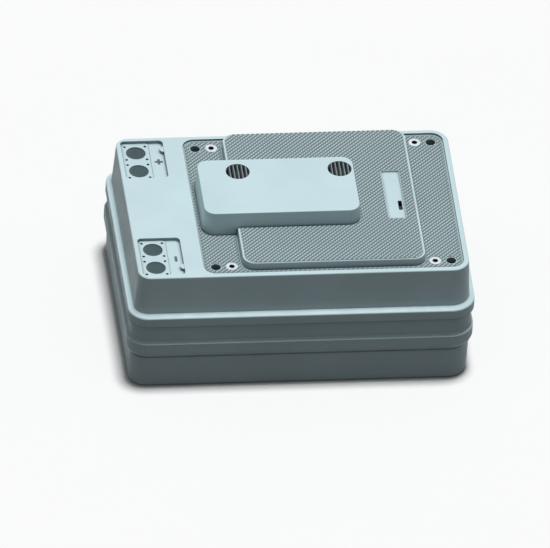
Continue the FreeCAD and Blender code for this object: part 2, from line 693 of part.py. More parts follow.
def switch_body():
    """Open-topped tray with two ears, held up against the skin under the label pocket."""
    z0 = z_label_under - SWITCH_DEEP
    tray = plain(slot_x - switch_half_x, slot_x + switch_half_x, SLOT_Y - switch_half_y, SLOT_Y + switch_half_y,
                 z0, z_label_under)
    ears = plain(slot_x - switch_half_x, slot_x + switch_half_x, SLOT_Y - ear_reach, SLOT_Y + ear_reach,
                 z_label_under - SWITCH_EAR_THICK, z_label_under)
    inside_x = switch_half_x - SWITCH_WALL
    inside_y = switch_half_y - SWITCH_WALL
    room = plain(slot_x - inside_x, slot_x + inside_x, SLOT_Y - inside_y, SLOT_Y + inside_y,
                 z0 + SWITCH_FLOOR, z_label_under + 1)
    holes = [peg(slot_x, y, z0, z_label_under + 1, SWITCH_SCREW_R + BEARING_CLEAR) for y in switch_screw_ys]
    return tray.fuse(ears).cut([room] + holes).removeSplitter()


def switch_slider():
    """Knob in the slot on a wider foot that slides in the tray."""
    z_foot = z_label_under - SLIDER_CLEAR
    knob = slab((slot_x - knob_x, slot_x + knob_x, knob_y0, knob_y0 + KNOB_LONG), z_foot - 1,
                z_label - KNOB_DROP, LABEL_R)
    foot_x = SLIDER_FOOT_WIDE / 2
    foot = plain(slot_x - foot_x, slot_x + foot_x, knob_y0, knob_y0 + KNOB_LONG, z_foot - SLIDER_FOOT, z_foot)
    stem_low = z_label_under - SWITCH_DEEP + SWITCH_FLOOR + SLIDER_CLEAR
    stem = plain(slot_x - foot_x / 2, slot_x + foot_x / 2, knob_y0 + 1, knob_y0 + KNOB_LONG - 1, stem_low, z_foot)
    return joined([knob, foot, stem])


def switch_screws():
    z_under = z_label_under - SWITCH_EAR_THICK
    return [socket_screw(slot_x, y, z_under, SWITCH_SCREW_R, SWITCH_EAR_THICK + SWITCH_SCREW_BITE - 0.5,
                         SWITCH_HEAD_R, SWITCH_HEAD_HIGH, -1) for y in switch_screw_ys]


# ---- Control board on standoffs over the well floor ----
z_board = z_recess + STANDOFF_HIGH
board_mid = (cover[0] + cover[1]) / 2
board = (board_mid - BOARD_LONG / 2, board_mid + BOARD_LONG / 2, -BOARD_WIDE / 2, BOARD_WIDE / 2)
board_places = [(x, y) for x in (board[0] + BOARD_SCREW_INSET, board[1] - BOARD_SCREW_INSET)
                for y in (board[2] + BOARD_SCREW_INSET, board[3] - BOARD_SCREW_INSET)]
z_board_top = z_board + BOARD_THICK


def control_board():
    body = plain(board[0], board[1], board[2], board[3], z_board, z_board_top)
    return body.cut([peg(x, y, z_board - 1, z_cover, BOARD_SCREW_R + SHEET_CLEAR) for x, y in board_places])


def board_standoffs():
    return [peg(x, y, z_recess, z_board, STANDOFF_R).cut(peg(x, y, z_ceiling, z_cover, BOARD_SCREW_R + SHEET_CLEAR))
            for x, y in board_places]


def board_screws():
    return [socket_screw(x, y, z_board_top, BOARD_SCREW_R, BOARD_THICK + STANDOFF_HIGH + WALL - 0.5,
                         BOARD_HEAD_R, BOARD_HEAD_HIGH) for x, y in board_places]


def heat_sink():
    x0 = board_mid - SINK_LONG / 2
    y0 = -SINK_WIDE
    pieces = [plain(x0, x0 + SINK_LONG, y0, 0, z_board_top, z_board_top + SINK_BASE)]
    pitch = (SINK_WIDE - SINK_FIN) / (SINK_FINS - 1)
    for i in range(SINK_FINS):
        y = y0 + i * pitch
        pieces.append(plain(x0, x0 + SINK_LONG, y, y + SINK_FIN, z_board_top, z_board_top + SINK_HIGH))
    return joined(pieces)


def board_chips():
    x0 = board_mid - CHIP_PITCH * (CHIP_COUNT - 1) / 2
    return [plain(x - CHIP_SIZE / 2, x + CHIP_SIZE / 2, CHIP_SIZE / 2, CHIP_SIZE * 3 / 2,
                  z_board_top, z_board_top + CHIP_THICK)
            for x in (x0 + i * CHIP_PITCH for i in range(CHIP_COUNT))]


# ---- Cell block between the four posts ----
room_x = screw_x[1] - screw_x[0] - 2 * (POST_R + BLOCK_CLEAR + END_PLATE)
cells_per_row = 2 * int((room_x + CELL_GAP) / (2 * (CELL_THICK + CELL_GAP)))
cells_long = cells_per_row * (CELL_THICK + CELL_GAP) - CELL_GAP
block_mid = (screw_x[0] + screw_x[1]) / 2
cells_x0 = block_mid - cells_long / 2
block = (cells_x0 - END_PLATE, cells_x0 + cells_long + END_PLATE)
z_cells = WALL + SEAT_RIB_HIGH + FOAM_THICK
z_cell_top = z_cells + CELL_HIGH
z_links = z_cell_top + CELL_PAD_HIGH
z_shield = z_links + LINK_THICK
row_y = ROW_GAP / 2 + CELL_WIDE / 2
rows_y = ROW_GAP / 2 + CELL_WIDE


def cell_middle(i):
    return cells_x0 + CELL_THICK / 2 + i * (CELL_THICK + CELL_GAP)


def cell_row(side):
    cells = []
    for i in range(cells_per_row):
        x = cell_middle(i)
        y = side * row_y
        can = plain(x - CELL_THICK / 2, x + CELL_THICK / 2, y - CELL_WIDE / 2, y + CELL_WIDE / 2, z_cells, z_cell_top)
        pads = [plain(x - CELL_PAD / 2, x + CELL_PAD / 2, y + s * CELL_PAD_OFFSET - CELL_PAD / 2,
                      y + s * CELL_PAD_OFFSET + CELL_PAD / 2, z_cell_top, z_links) for s in (-1, 1)]
        cells.append(joined([can] + pads))
    return cells


def foam_pad(side):
    y0, y1 = sorted((side * ROW_GAP / 2, side * rows_y))
    return plain(cells_x0, cells_x0 + cells_long, y0, y1, z_cells - FOAM_THICK, z_cells)


def cell_links():
    """Series links along each row on alternating sides, and one across at the plain end."""
    half_pad = CELL_PAD / 2
    links = []
    for side in (-1, 1):
        for i in range(cells_per_row - 1):
            outer = 1 if i % 2 == 0 else -1
            y = side * (row_y + outer * CELL_PAD_OFFSET)
            links.append(plain(cell_middle(i) - half_pad, cell_middle(i + 1) + half_pad,
                               y - LINK_WIDE / 2, y + LINK_WIDE / 2, z_links, z_shield))
    x = cell_middle(cells_per_row - 1)
    reach = row_y - CELL_PAD_OFFSET + half_pad
    links.append(plain(x - half_pad, x + half_pad, -reach, reach, z_links, z_shield))
    return links


def end_plate(x_cells, away):
    """Pressed plate against the row ends: a skin with upright ribs on its free side."""
    z0, z1 = z_cells - FOAM_THICK, z_cell_top - END_PLATE_DROP
    x_skin = x_cells + away * END_PLATE_SKIN
    x_out = x_cells + away * END_PLATE
    pieces = [plain(min(x_cells, x_skin), max(x_cells, x_skin), -rows_y, rows_y, z0, z1)]
    pitch = (2 * rows_y - END_PLATE_SKIN) / (END_PLATE_RIBS - 1)
    for i in range(END_PLATE_RIBS):
        y = -rows_y + i * pitch
        pieces.append(plain(min(x_cells, x_out), max(x_cells, x_out), y, y + END_PLATE_SKIN, z0, z1))
    for z in (z0, z1 - END_PLATE_SKIN):
        pieces.append(plain(min(x_cells, x_out), max(x_cells, x_out), -rows_y, rows_y, z, z + END_PLATE_SKIN))
    return joined(pieces)


def side_plate(side):
    """Strip along a row, with a lip turned in over the outer side of both end plates."""
    y0, y1 = sorted((side * rows_y, side * (rows_y + SIDE_PLATE)))
    z0, z1 = z_cells - FOAM_THICK, z_cell_top - END_PLATE_DROP
    strip = plain(block[0], block[1], y0, y1, z0, z1)
    window = [plain(x - CELL_WIDE / 4, x + CELL_WIDE / 4, y0 - 1, y1 + 1, z0 + CELL_HIGH / 4, z1 - CELL_HIGH / 4)
              for x in (block_mid - cells_long / 4, block_mid + cells_long / 4)]
    return strip.cut(window)


def link_shield():
    """Thin insulating sheet over the links, open where the two main bars land."""
    box = plain(block[0] + END_PLATE, block[1] - END_PLATE, -rows_y, rows_y, z_shield, z_shield + SHIELD_THICK)
    reach = row_y - CELL_PAD_OFFSET + BAR_WIDE / 2 + SHIELD_EDGE
    gate = plain(block[0], cell_middle(0) + CELL_PAD / 2 + SHIELD_EDGE, -reach, reach, z_links, z_split + DEEP)
    return box.cut(gate)


# ---- Power parts at the terminal end ----
power_x = -rim_x + CONTACTOR_FROM_END + CONTACTOR_SIZE / 2
power_ys = (row_y - CELL_PAD_OFFSET, row_y - CELL_PAD_OFFSET + POWER_PITCH)
power_mid = sum(power_ys) / 2
z_power_body = z_links - POWER_BOSS_HIGH
power_box = (power_x - CONTACTOR_SIZE / 2, power_x + CONTACTOR_SIZE / 2,
             power_mid - CONTACTOR_SIZE / 2, power_mid + CONTACTOR_SIZE / 2)
z_bar_top = z_links + BAR_THICK


def power_pedestal():
    """Block with two round terminal bosses, tapped for the bar bolts."""
    body = slab(power_box, WALL, z_power_body, CONTACTOR_CORNER_R)
    body = body.multiFuse([peg(power_x, y, z_power_body - 1, z_links, POWER_BOSS_R) for y in power_ys])
    holes = [peg(power_x, y, z_bar_top - POWER_BOLT_BITE - BAR_THICK, z_rim, POWER_BOLT_R) for y in power_ys]
    return body.cut(holes).removeSplitter()


def main_contactor():
    """Sealed relay: flanged foot, round coil can and a head with the two terminals."""
    foot_z = WALL + BAR_THICK
    head_z = z_power_body - CONTACTOR_SIZE / 3
    can = peg(power_x, power_mid, foot_z - 1, head_z + 1, CONTACTOR_SIZE / 2 - BAR_THICK)
    pieces = [slab(power_box, WALL, foot_z, CONTACTOR_CORNER_R), can,
              slab(power_box, head_z, z_power_body, CONTACTOR_CORNER_R)]
    pieces += [peg(power_x, y, z_power_body - 1, z_links, POWER_BOSS_R) for y in power_ys]
    holes = [peg(power_x, y, z_bar_top - POWER_BOLT_BITE - BAR_THICK, z_rim, POWER_BOLT_R) for y in power_ys]
    return joined(pieces).cut(holes)


def fuse_holder():
    """Hollow pedestal with ribs, for the fuse between the negative bars."""
    body = mirrored(power_pedestal())
    x0, x1 = power_box[0] + WALL, power_box[1] - WALL
    y0, y1 = -power_box[3] + WALL, -power_box[2] - WALL
    mid = (y0 + y1) / 2
    rooms = [plain(x0, x1, y0, mid - WALL / 2, WALL - 1, z_power_body - POWER_BOLT_BITE),
             plain(x0, x1, mid + WALL / 2, y1, WALL - 1, z_power_body - POWER_BOLT_BITE)]
    return body.cut(rooms).removeSplitter()


def main_fuse():
    """Round body with a flattened underside, and a flat blade on each bar."""
    y_in, y_out = -power_ys[0], -power_ys[1]
    blade_half = BAR_WIDE / 2
    z_axis = z_bar_top + BAR_THICK / 2
    length = POWER_PITCH - BAR_WIDE
    body = Part.makeCylinder(FUSE_BODY_R, length, V(power_x, (y_in + y_out) / 2 - length / 2, z_axis), V(0, 1, 0))
    cut_low = plain(power_x - DEEP / 2, power_x + DEEP / 2, -DEEP, DEEP, z_axis - DEEP, z_power_body + FUSE_GAP)
    blade = plain(power_x - blade_half, power_x + blade_half, y_out - blade_half, y_in + blade_half,
                  z_bar_top, z_bar_top + BAR_THICK)
    whole = joined([body.cut(cut_low), blade])
    return whole.cut([peg(power_x, y, z_bar_top - 1, z_rim, POWER_BOLT_R + SCREW_CLEAR) for y in (y_in, y_out)])


def inlet_bar():
    """Straight bar from the first cell of the row to the nearer terminal."""
    y = power_ys[0]
    bar = plain(power_x - BAR_WIDE / 2, cell_middle(0) + CELL_PAD / 2, y - BAR_WIDE / 2, y + BAR_WIDE / 2,
                z_links, z_bar_top)
    return bar.cut(peg(power_x, y, z_links - 1, z_rim, POWER_BOLT_R + SCREW_CLEAR))


def outlet_bar():
    """Bar from the farther terminal, up to the plate under both sockets of the pole."""
    y0 = power_ys[1] - BAR_WIDE / 2
    y_riser = socket_ys[0] - COLLECTOR_EDGE
    x0, x1 = power_x - BAR_WIDE / 2, power_x + BAR_WIDE / 2
    foot = plain(x0, x1, y0, y_riser + BAR_THICK, z_links, z_bar_top)
    riser = plain(x0, x1, y_riser, y_riser + BAR_THICK, z_links, z_socket_under)
    plate = plain(socket_x - COLLECTOR_EDGE, x1, y_riser, socket_ys[1] + COLLECTOR_EDGE,
                  z_collector, z_socket_under)
    bar = joined([foot, riser, plate])
    holes = [peg(socket_x, y, z_collector - 1, z_rim, STUD_R + SOCKET_FIT) for y in socket_ys]
    holes.append(peg(power_x, power_ys[1], z_links - 1, z_bar_top + 1, POWER_BOLT_R + SCREW_CLEAR))
    corner = plain(socket_x + 2 * COLLECTOR_EDGE, x1 + 1, socket_ys[0] + COLLECTOR_EDGE, DEEP, z_collector - 1,
                   z_rim)
    return bar.cut(holes + [corner])


def bar_bolts():
    bolts = []
    for side in (-1, 1):
        z_under = z_bar_top + (BAR_THICK if side < 0 else 0)
        grip = POWER_BOLT_BITE + (BAR_THICK if side < 0 else 0)
        for y in power_ys:
            shank = peg(power_x, side * y, z_under - grip, z_under + 1, POWER_BOLT_R)
            head = hexagon(power_x, side * y, z_under, z_under + POWER_HEAD_HIGH, POWER_HEAD_FLATS)
            bolts.append(shank.fuse(head).removeSplitter())
    return bolts


# ---- Every node of the pack ----
def build():
    nodes = {
        "lower_case": lower_case(),
        "upper_case": upper_case(),
        "case_seal": case_seal(),
        "case_screws": case_screws(),
        "threaded_inserts": threaded_inserts(),
        "electronics_cover": electronics_cover(),
        "cover_screws": cover_screws(),
        "fan_screws": fan_screws(),
        "switch_body": switch_body(),
        "switch_slider": switch_slider(),
        "switch_screws": switch_screws(),
        "control_board": control_board(),
        "board_standoffs": board_standoffs(),
        "board_screws": board_screws(),
        "heat_sink": heat_sink(),
        "board_chips": board_chips(),
        "cell_links": cell_links(),
        "link_shield": link_shield(),
        "left_end_plate": end_plate(cells_x0, -1),
        "right_end_plate": end_plate(cells_x0 + cells_long, 1),
        "main_contactor": main_contactor(),
        "fuse_holder": fuse_holder(),
        "main_fuse": main_fuse(),
        "bar_bolts": bar_bolts(),
        "positive_terminal_plate": terminal_plate(),
        "negative_terminal_plate": mirrored(terminal_plate()),
        "positive_inlet_bar": inlet_bar(),
        "negative_inlet_bar": mirrored(inlet_bar()),
        "positive_outlet_bar": outlet_bar(),
        "negative_outlet_bar": mirrored(outlet_bar()),
    }
    for name, (vx, vy) in vents.items():
        nodes[name + "_vent_grille"] = vent_grille(vx, vy)
        nodes[name + "_fan_frame"] = fan_frame(vx, vy)
        nodes[name + "_fan_rotor"] = fan_rotor(vx, vy)
    for name, side in (("front", -1), ("back", 1)):
        nodes[name + "_cells"] = cell_row(side)
        nodes[name + "_foam_pad"] = foam_pad(side)
        nodes[name + "_side_plate"] = side_plate(side)
    for name, side in (("negative", -1), ("positive", 1)):
        for place, y in zip(("inner", "outer"), socket_ys):
            socket, contact = terminal_socket(y), terminal_contact(y)
            nodes[name + "_" + place + "_socket"] = socket if side > 0 else mirrored(socket)
            nodes[name + "_" + place + "_contact"] = contact if side > 0 else mirrored(contact)
        nodes[name + "_contact_nuts"] = contact_nuts(side)
    return nodes


for node, made in build().items():
    shape = Part.makeCompound(made) if isinstance(made, list) else made
    shape.exportStep("parts/" + node + ".step")
    print(node, len(shape.Solids), "solids, valid", shape.isValid(), "volume", round(shape.Volume))
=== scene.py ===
"""Finish of a moulded battery pack case: plastics and metals, lid texture, pole signs,
threads, switch ridges, cell lids and board parts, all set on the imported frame."""
import functools
import json
import math

import bmesh
import bpy
from mathutils import Matrix, Vector


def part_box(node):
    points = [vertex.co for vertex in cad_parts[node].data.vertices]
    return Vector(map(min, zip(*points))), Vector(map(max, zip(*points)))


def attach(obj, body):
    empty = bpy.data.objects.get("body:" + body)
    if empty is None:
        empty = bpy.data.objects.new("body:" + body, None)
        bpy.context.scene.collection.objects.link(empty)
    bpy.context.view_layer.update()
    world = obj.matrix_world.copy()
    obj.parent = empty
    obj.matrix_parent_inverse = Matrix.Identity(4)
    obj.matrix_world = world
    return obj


bl_info = {
    "name": "Battery Pack Case Finish",
    "version": (1, 0, 0),
    "blender": (4, 5, 0),
    "location": "3D View > Sidebar > Battery Case",
    "description": "Dresses a moulded battery pack case with its finishes and fine detail",
    "category": "Object",
}

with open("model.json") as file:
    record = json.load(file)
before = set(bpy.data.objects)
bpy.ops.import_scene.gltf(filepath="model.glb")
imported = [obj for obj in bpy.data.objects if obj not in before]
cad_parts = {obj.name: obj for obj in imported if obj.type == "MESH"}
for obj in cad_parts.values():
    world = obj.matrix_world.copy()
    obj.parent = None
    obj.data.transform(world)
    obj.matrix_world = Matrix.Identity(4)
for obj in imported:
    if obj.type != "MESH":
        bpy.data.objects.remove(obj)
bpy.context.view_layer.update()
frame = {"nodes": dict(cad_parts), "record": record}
slots = {part["node"]: part["material_slot"] for part in frame["record"]["subparts"]}
lid_inserts = next(mount for mount in frame["record"]["mounts"] if mount["name"] == "lid_inserts")
MM = 0.001
NEAR = 0.1 * MM

# sizes of the solids that the frame doesn't state
RECESS_CORNER = 18.0 * MM
PLATFORM_CORNER = 16.5 * MM
PLATFORM_FOOT_CORNER = 19.5 * MM
PLATFORM_DRAFT = math.radians(5.0)
PLATFORM_FILLET = 1.0 * MM
COVER_CORNER = 20.0 * MM
LABEL_CORNER = 2.2 * MM
LABEL_LEAST_DEPTH = 1.3 * MM
WELL_RADIUS = 7.5 * MM
FLANGE_RADIUS = 9.0 * MM
PLATE_PROUD = 1.0 * MM
CELL_LID_EDGE = 1.0 * MM

# places and sizes of the finest detail
SIGN_FROM_PLATE = 12.2 * MM
SIGN_SINK = 0.2 * MM
# a painted shadow under the lip of the lower case, and the dark shut line between the two halves
LIP_SHADE_DROP = 9.2 * MM
LIP_SHADE_HALF = 3.2 * MM
SHUT_LINE_HALF = 0.9 * MM
CUTTER_REACH = 5.0 * MM
THREAD_START = 1.2 * MM
THREAD_PLAIN_ENDS = 3.0 * MM
THREAD_ROOT = 0.15 * MM
KNOB_RIDGES = 5
KNOB_RIDGE_RADIUS = 0.4 * MM
KNOB_RIDGE_MARGIN = 1.0 * MM
BOARD_STEP = 5.5 * MM
BOARD_GAP = 3.0 * MM
BOARD_SCREW_GAP = 12.0 * MM
BOARD_PART_SINK = 0.05 * MM

# the frame comes with flat stand-in materials under the slots' names; every node is dressed anew below
for stand_in in list(bpy.data.materials):
    bpy.data.materials.remove(stand_in)


# ---- Sizes and colours that a user would change ----
def colour_prop(name, description, default):
    return bpy.props.FloatVectorProperty(name=name, description=description, subtype="COLOR",
                                         size=3, min=0.0, max=1.0, default=default)


def length_prop(name, description, default):
    return bpy.props.FloatProperty(name=name, description=description, default=default,
                                   min=0.0, unit="LENGTH", precision=5)


def share_prop(name, description, default):
    return bpy.props.FloatProperty(name=name, description=description, default=default,
                                   min=0.0, max=1.0, subtype="FACTOR")


class CaseColours(bpy.types.PropertyGroup):
    shell: colour_prop("Shell", "Moulded case, lid and cover", (0.575, 0.745, 0.785))
    # The slats' colour is the shell's darkened to a third, as painted shade.
    shaded_vent: colour_prop("Vent", "Slats of the round vents", (0.19, 0.24, 0.26))
    # The port walls' colour is the shell's made paler, as painted light on their shaded walls.
    socket: colour_prop("Socket", "Walls of the round ports", (0.64, 0.80, 0.85))
    sign: colour_prop("Sign", "Plus and minus signs", (0.10, 0.125, 0.135))
    black: colour_prop("Black plastic", "Fans, switch and contactor", (0.022, 0.024, 0.026))
    film: colour_prop("Cell film", "Film round each cell", (0.045, 0.14, 0.32))
    board: colour_prop("Board", "Solder mask of the control board", (0.012, 0.10, 0.045))


class MouldedFinish(bpy.types.PropertyGroup):
    grain: length_prop("Grain", "Size of the moulded grain", 0.0011)
    grain_depth: length_prop("Grain depth", "Depth of the moulded grain", 0.00003)
    roughness: share_prop("Roughness", "Roughness of the moulded skin", 0.52)
    # Rubbed edges pale, partly as wear and partly as a painted highlight on their fillets.
    wear_width: length_prop("Wear width", "Reach of rubbed edges", 0.0009)
    wear_and_highlight: share_prop("Wear", "How far rubbed edges pale", 0.55)
    # Painted shade: inner corners, steep sides near a floor or wall, and the foot of deep cups.
    crevice_reach: length_prop("Crevice reach", "How far the dark of inner corners spreads", 0.0055)
    crevice: share_prop("Crevice", "How far inner corners darken", 0.85)
    wall_reach: length_prop("Wall reach", "How near a floor or wall darkens a steep side", 0.028)
    wall_shade: share_prop("Wall shade", "How far such sides darken", 0.62)
    dusk_shade: share_prop("Dusk shade", "How far the foot of a deep cup darkens", 0.85)
    # This one also darkens the painted shadow under the lip, besides the shut line.
    lip_shadow_and_seam_shade: share_prop("Seam shade", "How far the dirt along shut lines darkens", 0.80)


class LidTextureSizes(bpy.types.PropertyGroup):
    pitch: length_prop("Pitch", "Distance between two ridges along the lid", 0.0072)
    height: length_prop("Height", "Height of the points", 0.0016)
    notch: share_prop("Notch", "Height left in the notches between the points", 0.55)
    lift: length_prop("Lift", "Height of the grooves above the lid", 0.00005)
    sink: length_prop("Sink", "How far the sheet reaches into the lid", 0.0002)
    rim_margin: length_prop("Rim margin", "Smooth strip inside the rim of the recess", 0.0030)
    side_margin: length_prop("Side margin", "Smooth strip at the platform's ends", 0.0026)
    edge_margin: length_prop("Edge margin", "Smooth strip at the platform's long edges", 0.0006)
    foot_margin: length_prop("Foot margin", "Gap round the platform and the cover's foot", 0.0016)
    cover_margin: length_prop("Cover margin", "Gap round the cover on the platform", 0.00064)
    label_margin: length_prop("Label margin", "Smooth strip round the label pocket", 0.0012)
    well_margin: length_prop("Well margin", "Smooth ring round the screw wells", 0.0012)
    flange_margin: length_prop("Flange margin", "Smooth ring round the inserts", 0.0006)


class PoleSignSizes(bpy.types.PropertyGroup):
    length: length_prop("Length", "Length of each sign", 0.012)
    width: length_prop("Width", "Width of a sign's arm", 0.0036)
    relief: length_prop("Relief", "Height of the signs", 0.0004)
    bevel: length_prop("Bevel", "Bevel along the signs", 0.00012)


class ThreadSizes(bpy.types.PropertyGroup):
    insert_pitch: length_prop("Insert pitch", "Thread pitch of the lid inserts", 0.0015)
    depth: length_prop("Depth", "Height of the thread's ridge", 0.00045)


class InsideDetail(bpy.types.PropertyGroup):
    vent_length: length_prop("Cell vent", "Length of the safety vent on each cell", 0.020)
    cells_in_row: bpy.props.IntProperty(name="Cells in a row", description="Cells side by side",
                                        default=12, min=1)
    board_parts: bpy.props.IntProperty(name="Board parts", default=150, min=0,
                                       description="Small parts spread over the control board")
    seed: bpy.props.IntProperty(name="Seed", description="Spread of the board's parts", default=7)


class StageLight(bpy.types.PropertyGroup):
    key: bpy.props.FloatProperty(name="Key", description="Strength of the soft overhead light",
                                 default=2.60, min=0.0)
    softness: bpy.props.FloatProperty(name="Softness", description="Spread of the overhead light",
                                      default=math.radians(12), subtype="ANGLE")
    lean: bpy.props.FloatProperty(name="Lean", default=math.radians(2.5), subtype="ANGLE",
                                  description="Lean of the overhead light towards the plain end")
    ambient: bpy.props.FloatProperty(name="Ambient", description="Strength of the room's light",
                                     default=0.145, min=0.0)
    floor: colour_prop("Floor", "Floor as it is seen", (0.985, 0.99, 0.99))
    floor_bounce: colour_prop("Floor bounce", "Floor as it lights the case", (0.055, 0.055, 0.060))


# ---- Short-hand for node trees ----
class Net:
    """Places and joins the nodes of one tree."""

    def __init__(self, tree):
        self.tree = tree

    def node(self, kind, fed=None, **settings):
        """New node with its settings, and its sockets fed by name or number."""
        node = self.tree.nodes.new(kind)
        for key, value in settings.items():
            setattr(node, key, value)
        for key, value in (fed or {}).items():
            self.feed(node.inputs[key], value)
        return node

    def feed(self, socket, value):
        """Join a socket or set its constant."""
        if isinstance(value, bpy.types.NodeSocket):
            self.tree.links.new(value, socket)
        else:
            socket.default_value = value

    def math(self, operation, first, second=0.0):
        return self.node("ShaderNodeMath", {0: first, 1: second}, operation=operation).outputs[0]

    def times(self, first, second):
        return self.math("MULTIPLY", first, second)

    def split(self, vector):
        return self.node("ShaderNodeSeparateXYZ", {0: vector}).outputs

    def join(self, x=0.0, y=0.0, z=0.0):
        return self.node("ShaderNodeCombineXYZ", {0: x, 1: y, 2: z}).outputs[0]

    def vector(self, operation, first, second):
        node = self.node("ShaderNodeVectorMath", {0: first, 1: second}, operation=operation)
        return node.outputs["Value" if operation == "DOT_PRODUCT" else "Vector"]

    def ramp(self, value, low, high, to_low=0.0, to_high=1.0):
        fed = dict(enumerate((value, low, high, to_low, to_high)))
        return self.node("ShaderNodeMapRange", fed, interpolation_type="SMOOTHSTEP").outputs[0]

    def mix(self, share, first, second):
        return self.node("ShaderNodeMix", {0: share, 6: first, 7: second}, data_type="RGBA").outputs[2]

    def noise(self, place, scale, detail=3.0, roughness=0.5):
        fed = {"Vector": place, "Scale": scale, "Detail": detail, "Roughness": roughness}
        return self.node("ShaderNodeTexNoise", fed).outputs["Fac"]

    def cells(self, place, scale, feature="F1"):
        fed = {"Vector": place, "Scale": scale}
        return self.node("ShaderNodeTexVoronoi", fed, feature=feature).outputs["Distance"]

    def place(self):
        return self.node("ShaderNodeTexCoord").outputs["Object"]

    def height(self):
        return self.split(self.place())["Z"]

    def openness(self, reach):
        """1 on open ground, and less the closer other faces stand within the reach."""
        return self.node("ShaderNodeAmbientOcclusion", {"Distance": reach}, samples=6).outputs["AO"]

    def seen(self):
        """1 where the camera, a gloss or glass looks, 0 where only light falls."""
        rays = self.node("ShaderNodeLightPath").outputs
        return self.math("MAXIMUM", rays["Is Camera Ray"],
                         self.math("MAXIMUM", rays["Is Glossy Ray"], rays["Is Transmission Ray"]))

    def group(self, tree, **values):
        """Outputs of a node group whose inputs are fed by name."""
        fed = {name.replace("_", " ").title(): value for name, value in values.items()}
        return self.node("ShaderNodeGroup", fed, node_tree=tree).outputs


FLOAT, SHAPE, FINISH = "NodeSocketFloat", "NodeSocketGeometry", "NodeSocketMaterial"
SOCKETS = {float: FLOAT, int: "NodeSocketInt", tuple: "NodeSocketVector"}


def new_group(name, kind, inputs, outputs):
    """Empty node group and its input and output nodes. Each socket is named, and stated by its
    default or, where it has none, by its type."""
    tree = bpy.data.node_groups.new(name, kind)
    for direction, listed in (("INPUT", inputs), ("OUTPUT", outputs)):
        for label, stated in listed.items():
            socket_type = SOCKETS.get(type(stated), stated)
            socket = tree.interface.new_socket(label, in_out=direction, socket_type=socket_type)
            if socket_type != stated:
                socket.default_value = stated
    net = Net(tree)
    return net, net.node("NodeGroupInput").outputs, net.node("NodeGroupOutput").inputs


def mask_group(name, inputs, *masks):
    return new_group(name, "ShaderNodeTree", inputs, dict.fromkeys(masks, FLOAT))


def shape_group(name, inputs):
    return new_group(name, "GeometryNodeTree", inputs | {"Finish": FINISH}, {"Geometry": SHAPE})


@functools.cache
def moulded_grain():
    """Spark-eroded grain with a slow change of tone from the mould's flow."""
    net, given, made = mask_group("Moulded Grain", {"Size": 0.001}, "Height", "Tone", "Gloss")
    place = net.place()
    scale = net.math("DIVIDE", 1.0, given["Size"])
    fine = net.noise(place, scale, 2.0, 0.6)
    pits = net.cells(place, net.times(scale, 0.8))
    net.feed(made["Height"], net.math("ADD", net.times(fine, 0.65), net.times(pits, 0.5)))
    net.feed(made["Tone"], net.ramp(net.noise(place, 9.0, 4.0, 0.55), 0.32, 0.68))
    net.feed(made["Gloss"], net.ramp(net.noise(place, 38.0, 3.0, 0.6), 0.3, 0.7))
    return net.tree


@functools.cache
def edge_wear():
    """Mask of rubbed outer edges, broken up along their length."""
    net, given, made = mask_group("Edge Wear", {"Width": 0.001}, "Mask")
    bevel = net.node("ShaderNodeBevel", {"Radius": given["Width"]}, samples=4)
    normal = net.node("ShaderNodeNewGeometry").outputs["Normal"]
    turned = net.math("SUBTRACT", 1.0, net.vector("DOT_PRODUCT", bevel.outputs["Normal"], normal))
    broken = net.ramp(net.noise(net.place(), 160.0, 3.0, 0.65), 0.30, 0.75, 0.35, 1.0)
    net.feed(made["Mask"], net.times(net.ramp(turned, 0.01, 0.14), broken))
    return net.tree


@functools.cache
def crevice_shade():
    """Masks of painted shade: inner corners, and steep walls that stand close to others."""
    net, given, made = mask_group("Crevice Shade", {"Reach": 0.003, "Wall Reach": 0.025}, "Corner", "Wall")
    net.feed(made["Corner"], net.ramp(net.openness(given["Reach"]), 0.45, 0.96, 1.0, 0.0))
    closed = net.ramp(net.openness(given["Wall Reach"]), 0.40, 0.97, 1.0, 0.0)
    upright = net.split(net.node("ShaderNodeNewGeometry").outputs["True Normal"])["Z"]
    steep = net.ramp(net.math("ABSOLUTE", upright), 0.3, 0.8, 1.0, 0.0)
    clear_foot = net.ramp(net.height(), 0.012, 0.045)
    net.feed(made["Wall"], net.times(net.times(steep, closed), clear_foot))
    return net.tree


@functools.cache
def height_fade():
    """Mask by height: 1 below the low level, 0 above the high one."""
    net, given, made = mask_group("Height Fade", {"Low": 0.0, "High": 0.01}, "Mask")
    net.feed(made["Mask"], net.ramp(net.height(), given["Low"], given["High"], 1.0, 0.0))
    return net.tree


@functools.cache
def drawn_lines():
    """Fine lines left by drawing, brushing or turning, stretched along the metal."""
    net, given, made = mask_group("Drawn Lines", {"Stretch": (1.0, 1.0, 1.0)}, "Height", "Tone")
    place = net.place()
    along = net.vector("MULTIPLY", place, given["Stretch"])
    net.feed(made["Height"], net.noise(along, 1.0, 2.0, 0.7))
    net.feed(made["Tone"], net.ramp(net.noise(place, 60.0, 4.0, 0.6), 0.3, 0.72))
    return net.tree


@functools.cache
def groove_shade():
    """From 0 in the grooves of the lid texture to 1 at its points."""
    net, given, made = mask_group("Groove Shade", {"Floor Height": 0.0, "Texture Height": 0.001}, "Shade")
    above = net.math("SUBTRACT", net.height(), given["Floor Height"])
    part = net.math("DIVIDE", above, given["Texture Height"])
    net.feed(made["Shade"], net.ramp(part, 0.16, 0.86))
    return net.tree


# ---- Materials ----
# How dark the painted marks go, as shares of the colour: painted shade on steep walls and in deep cups,
# painted shade in inner corners, and the painted shadow under the lip together with the dark shut line.
SHADED = 0.20
CORNER_SHADE_TINT = 0.10
LIP_SHADOW_AND_SEAM_TINT = 0.12


def tint(colour, factor):
    return tuple(min(1.0, part * factor) for part in colour[:3]) + (1.0,)


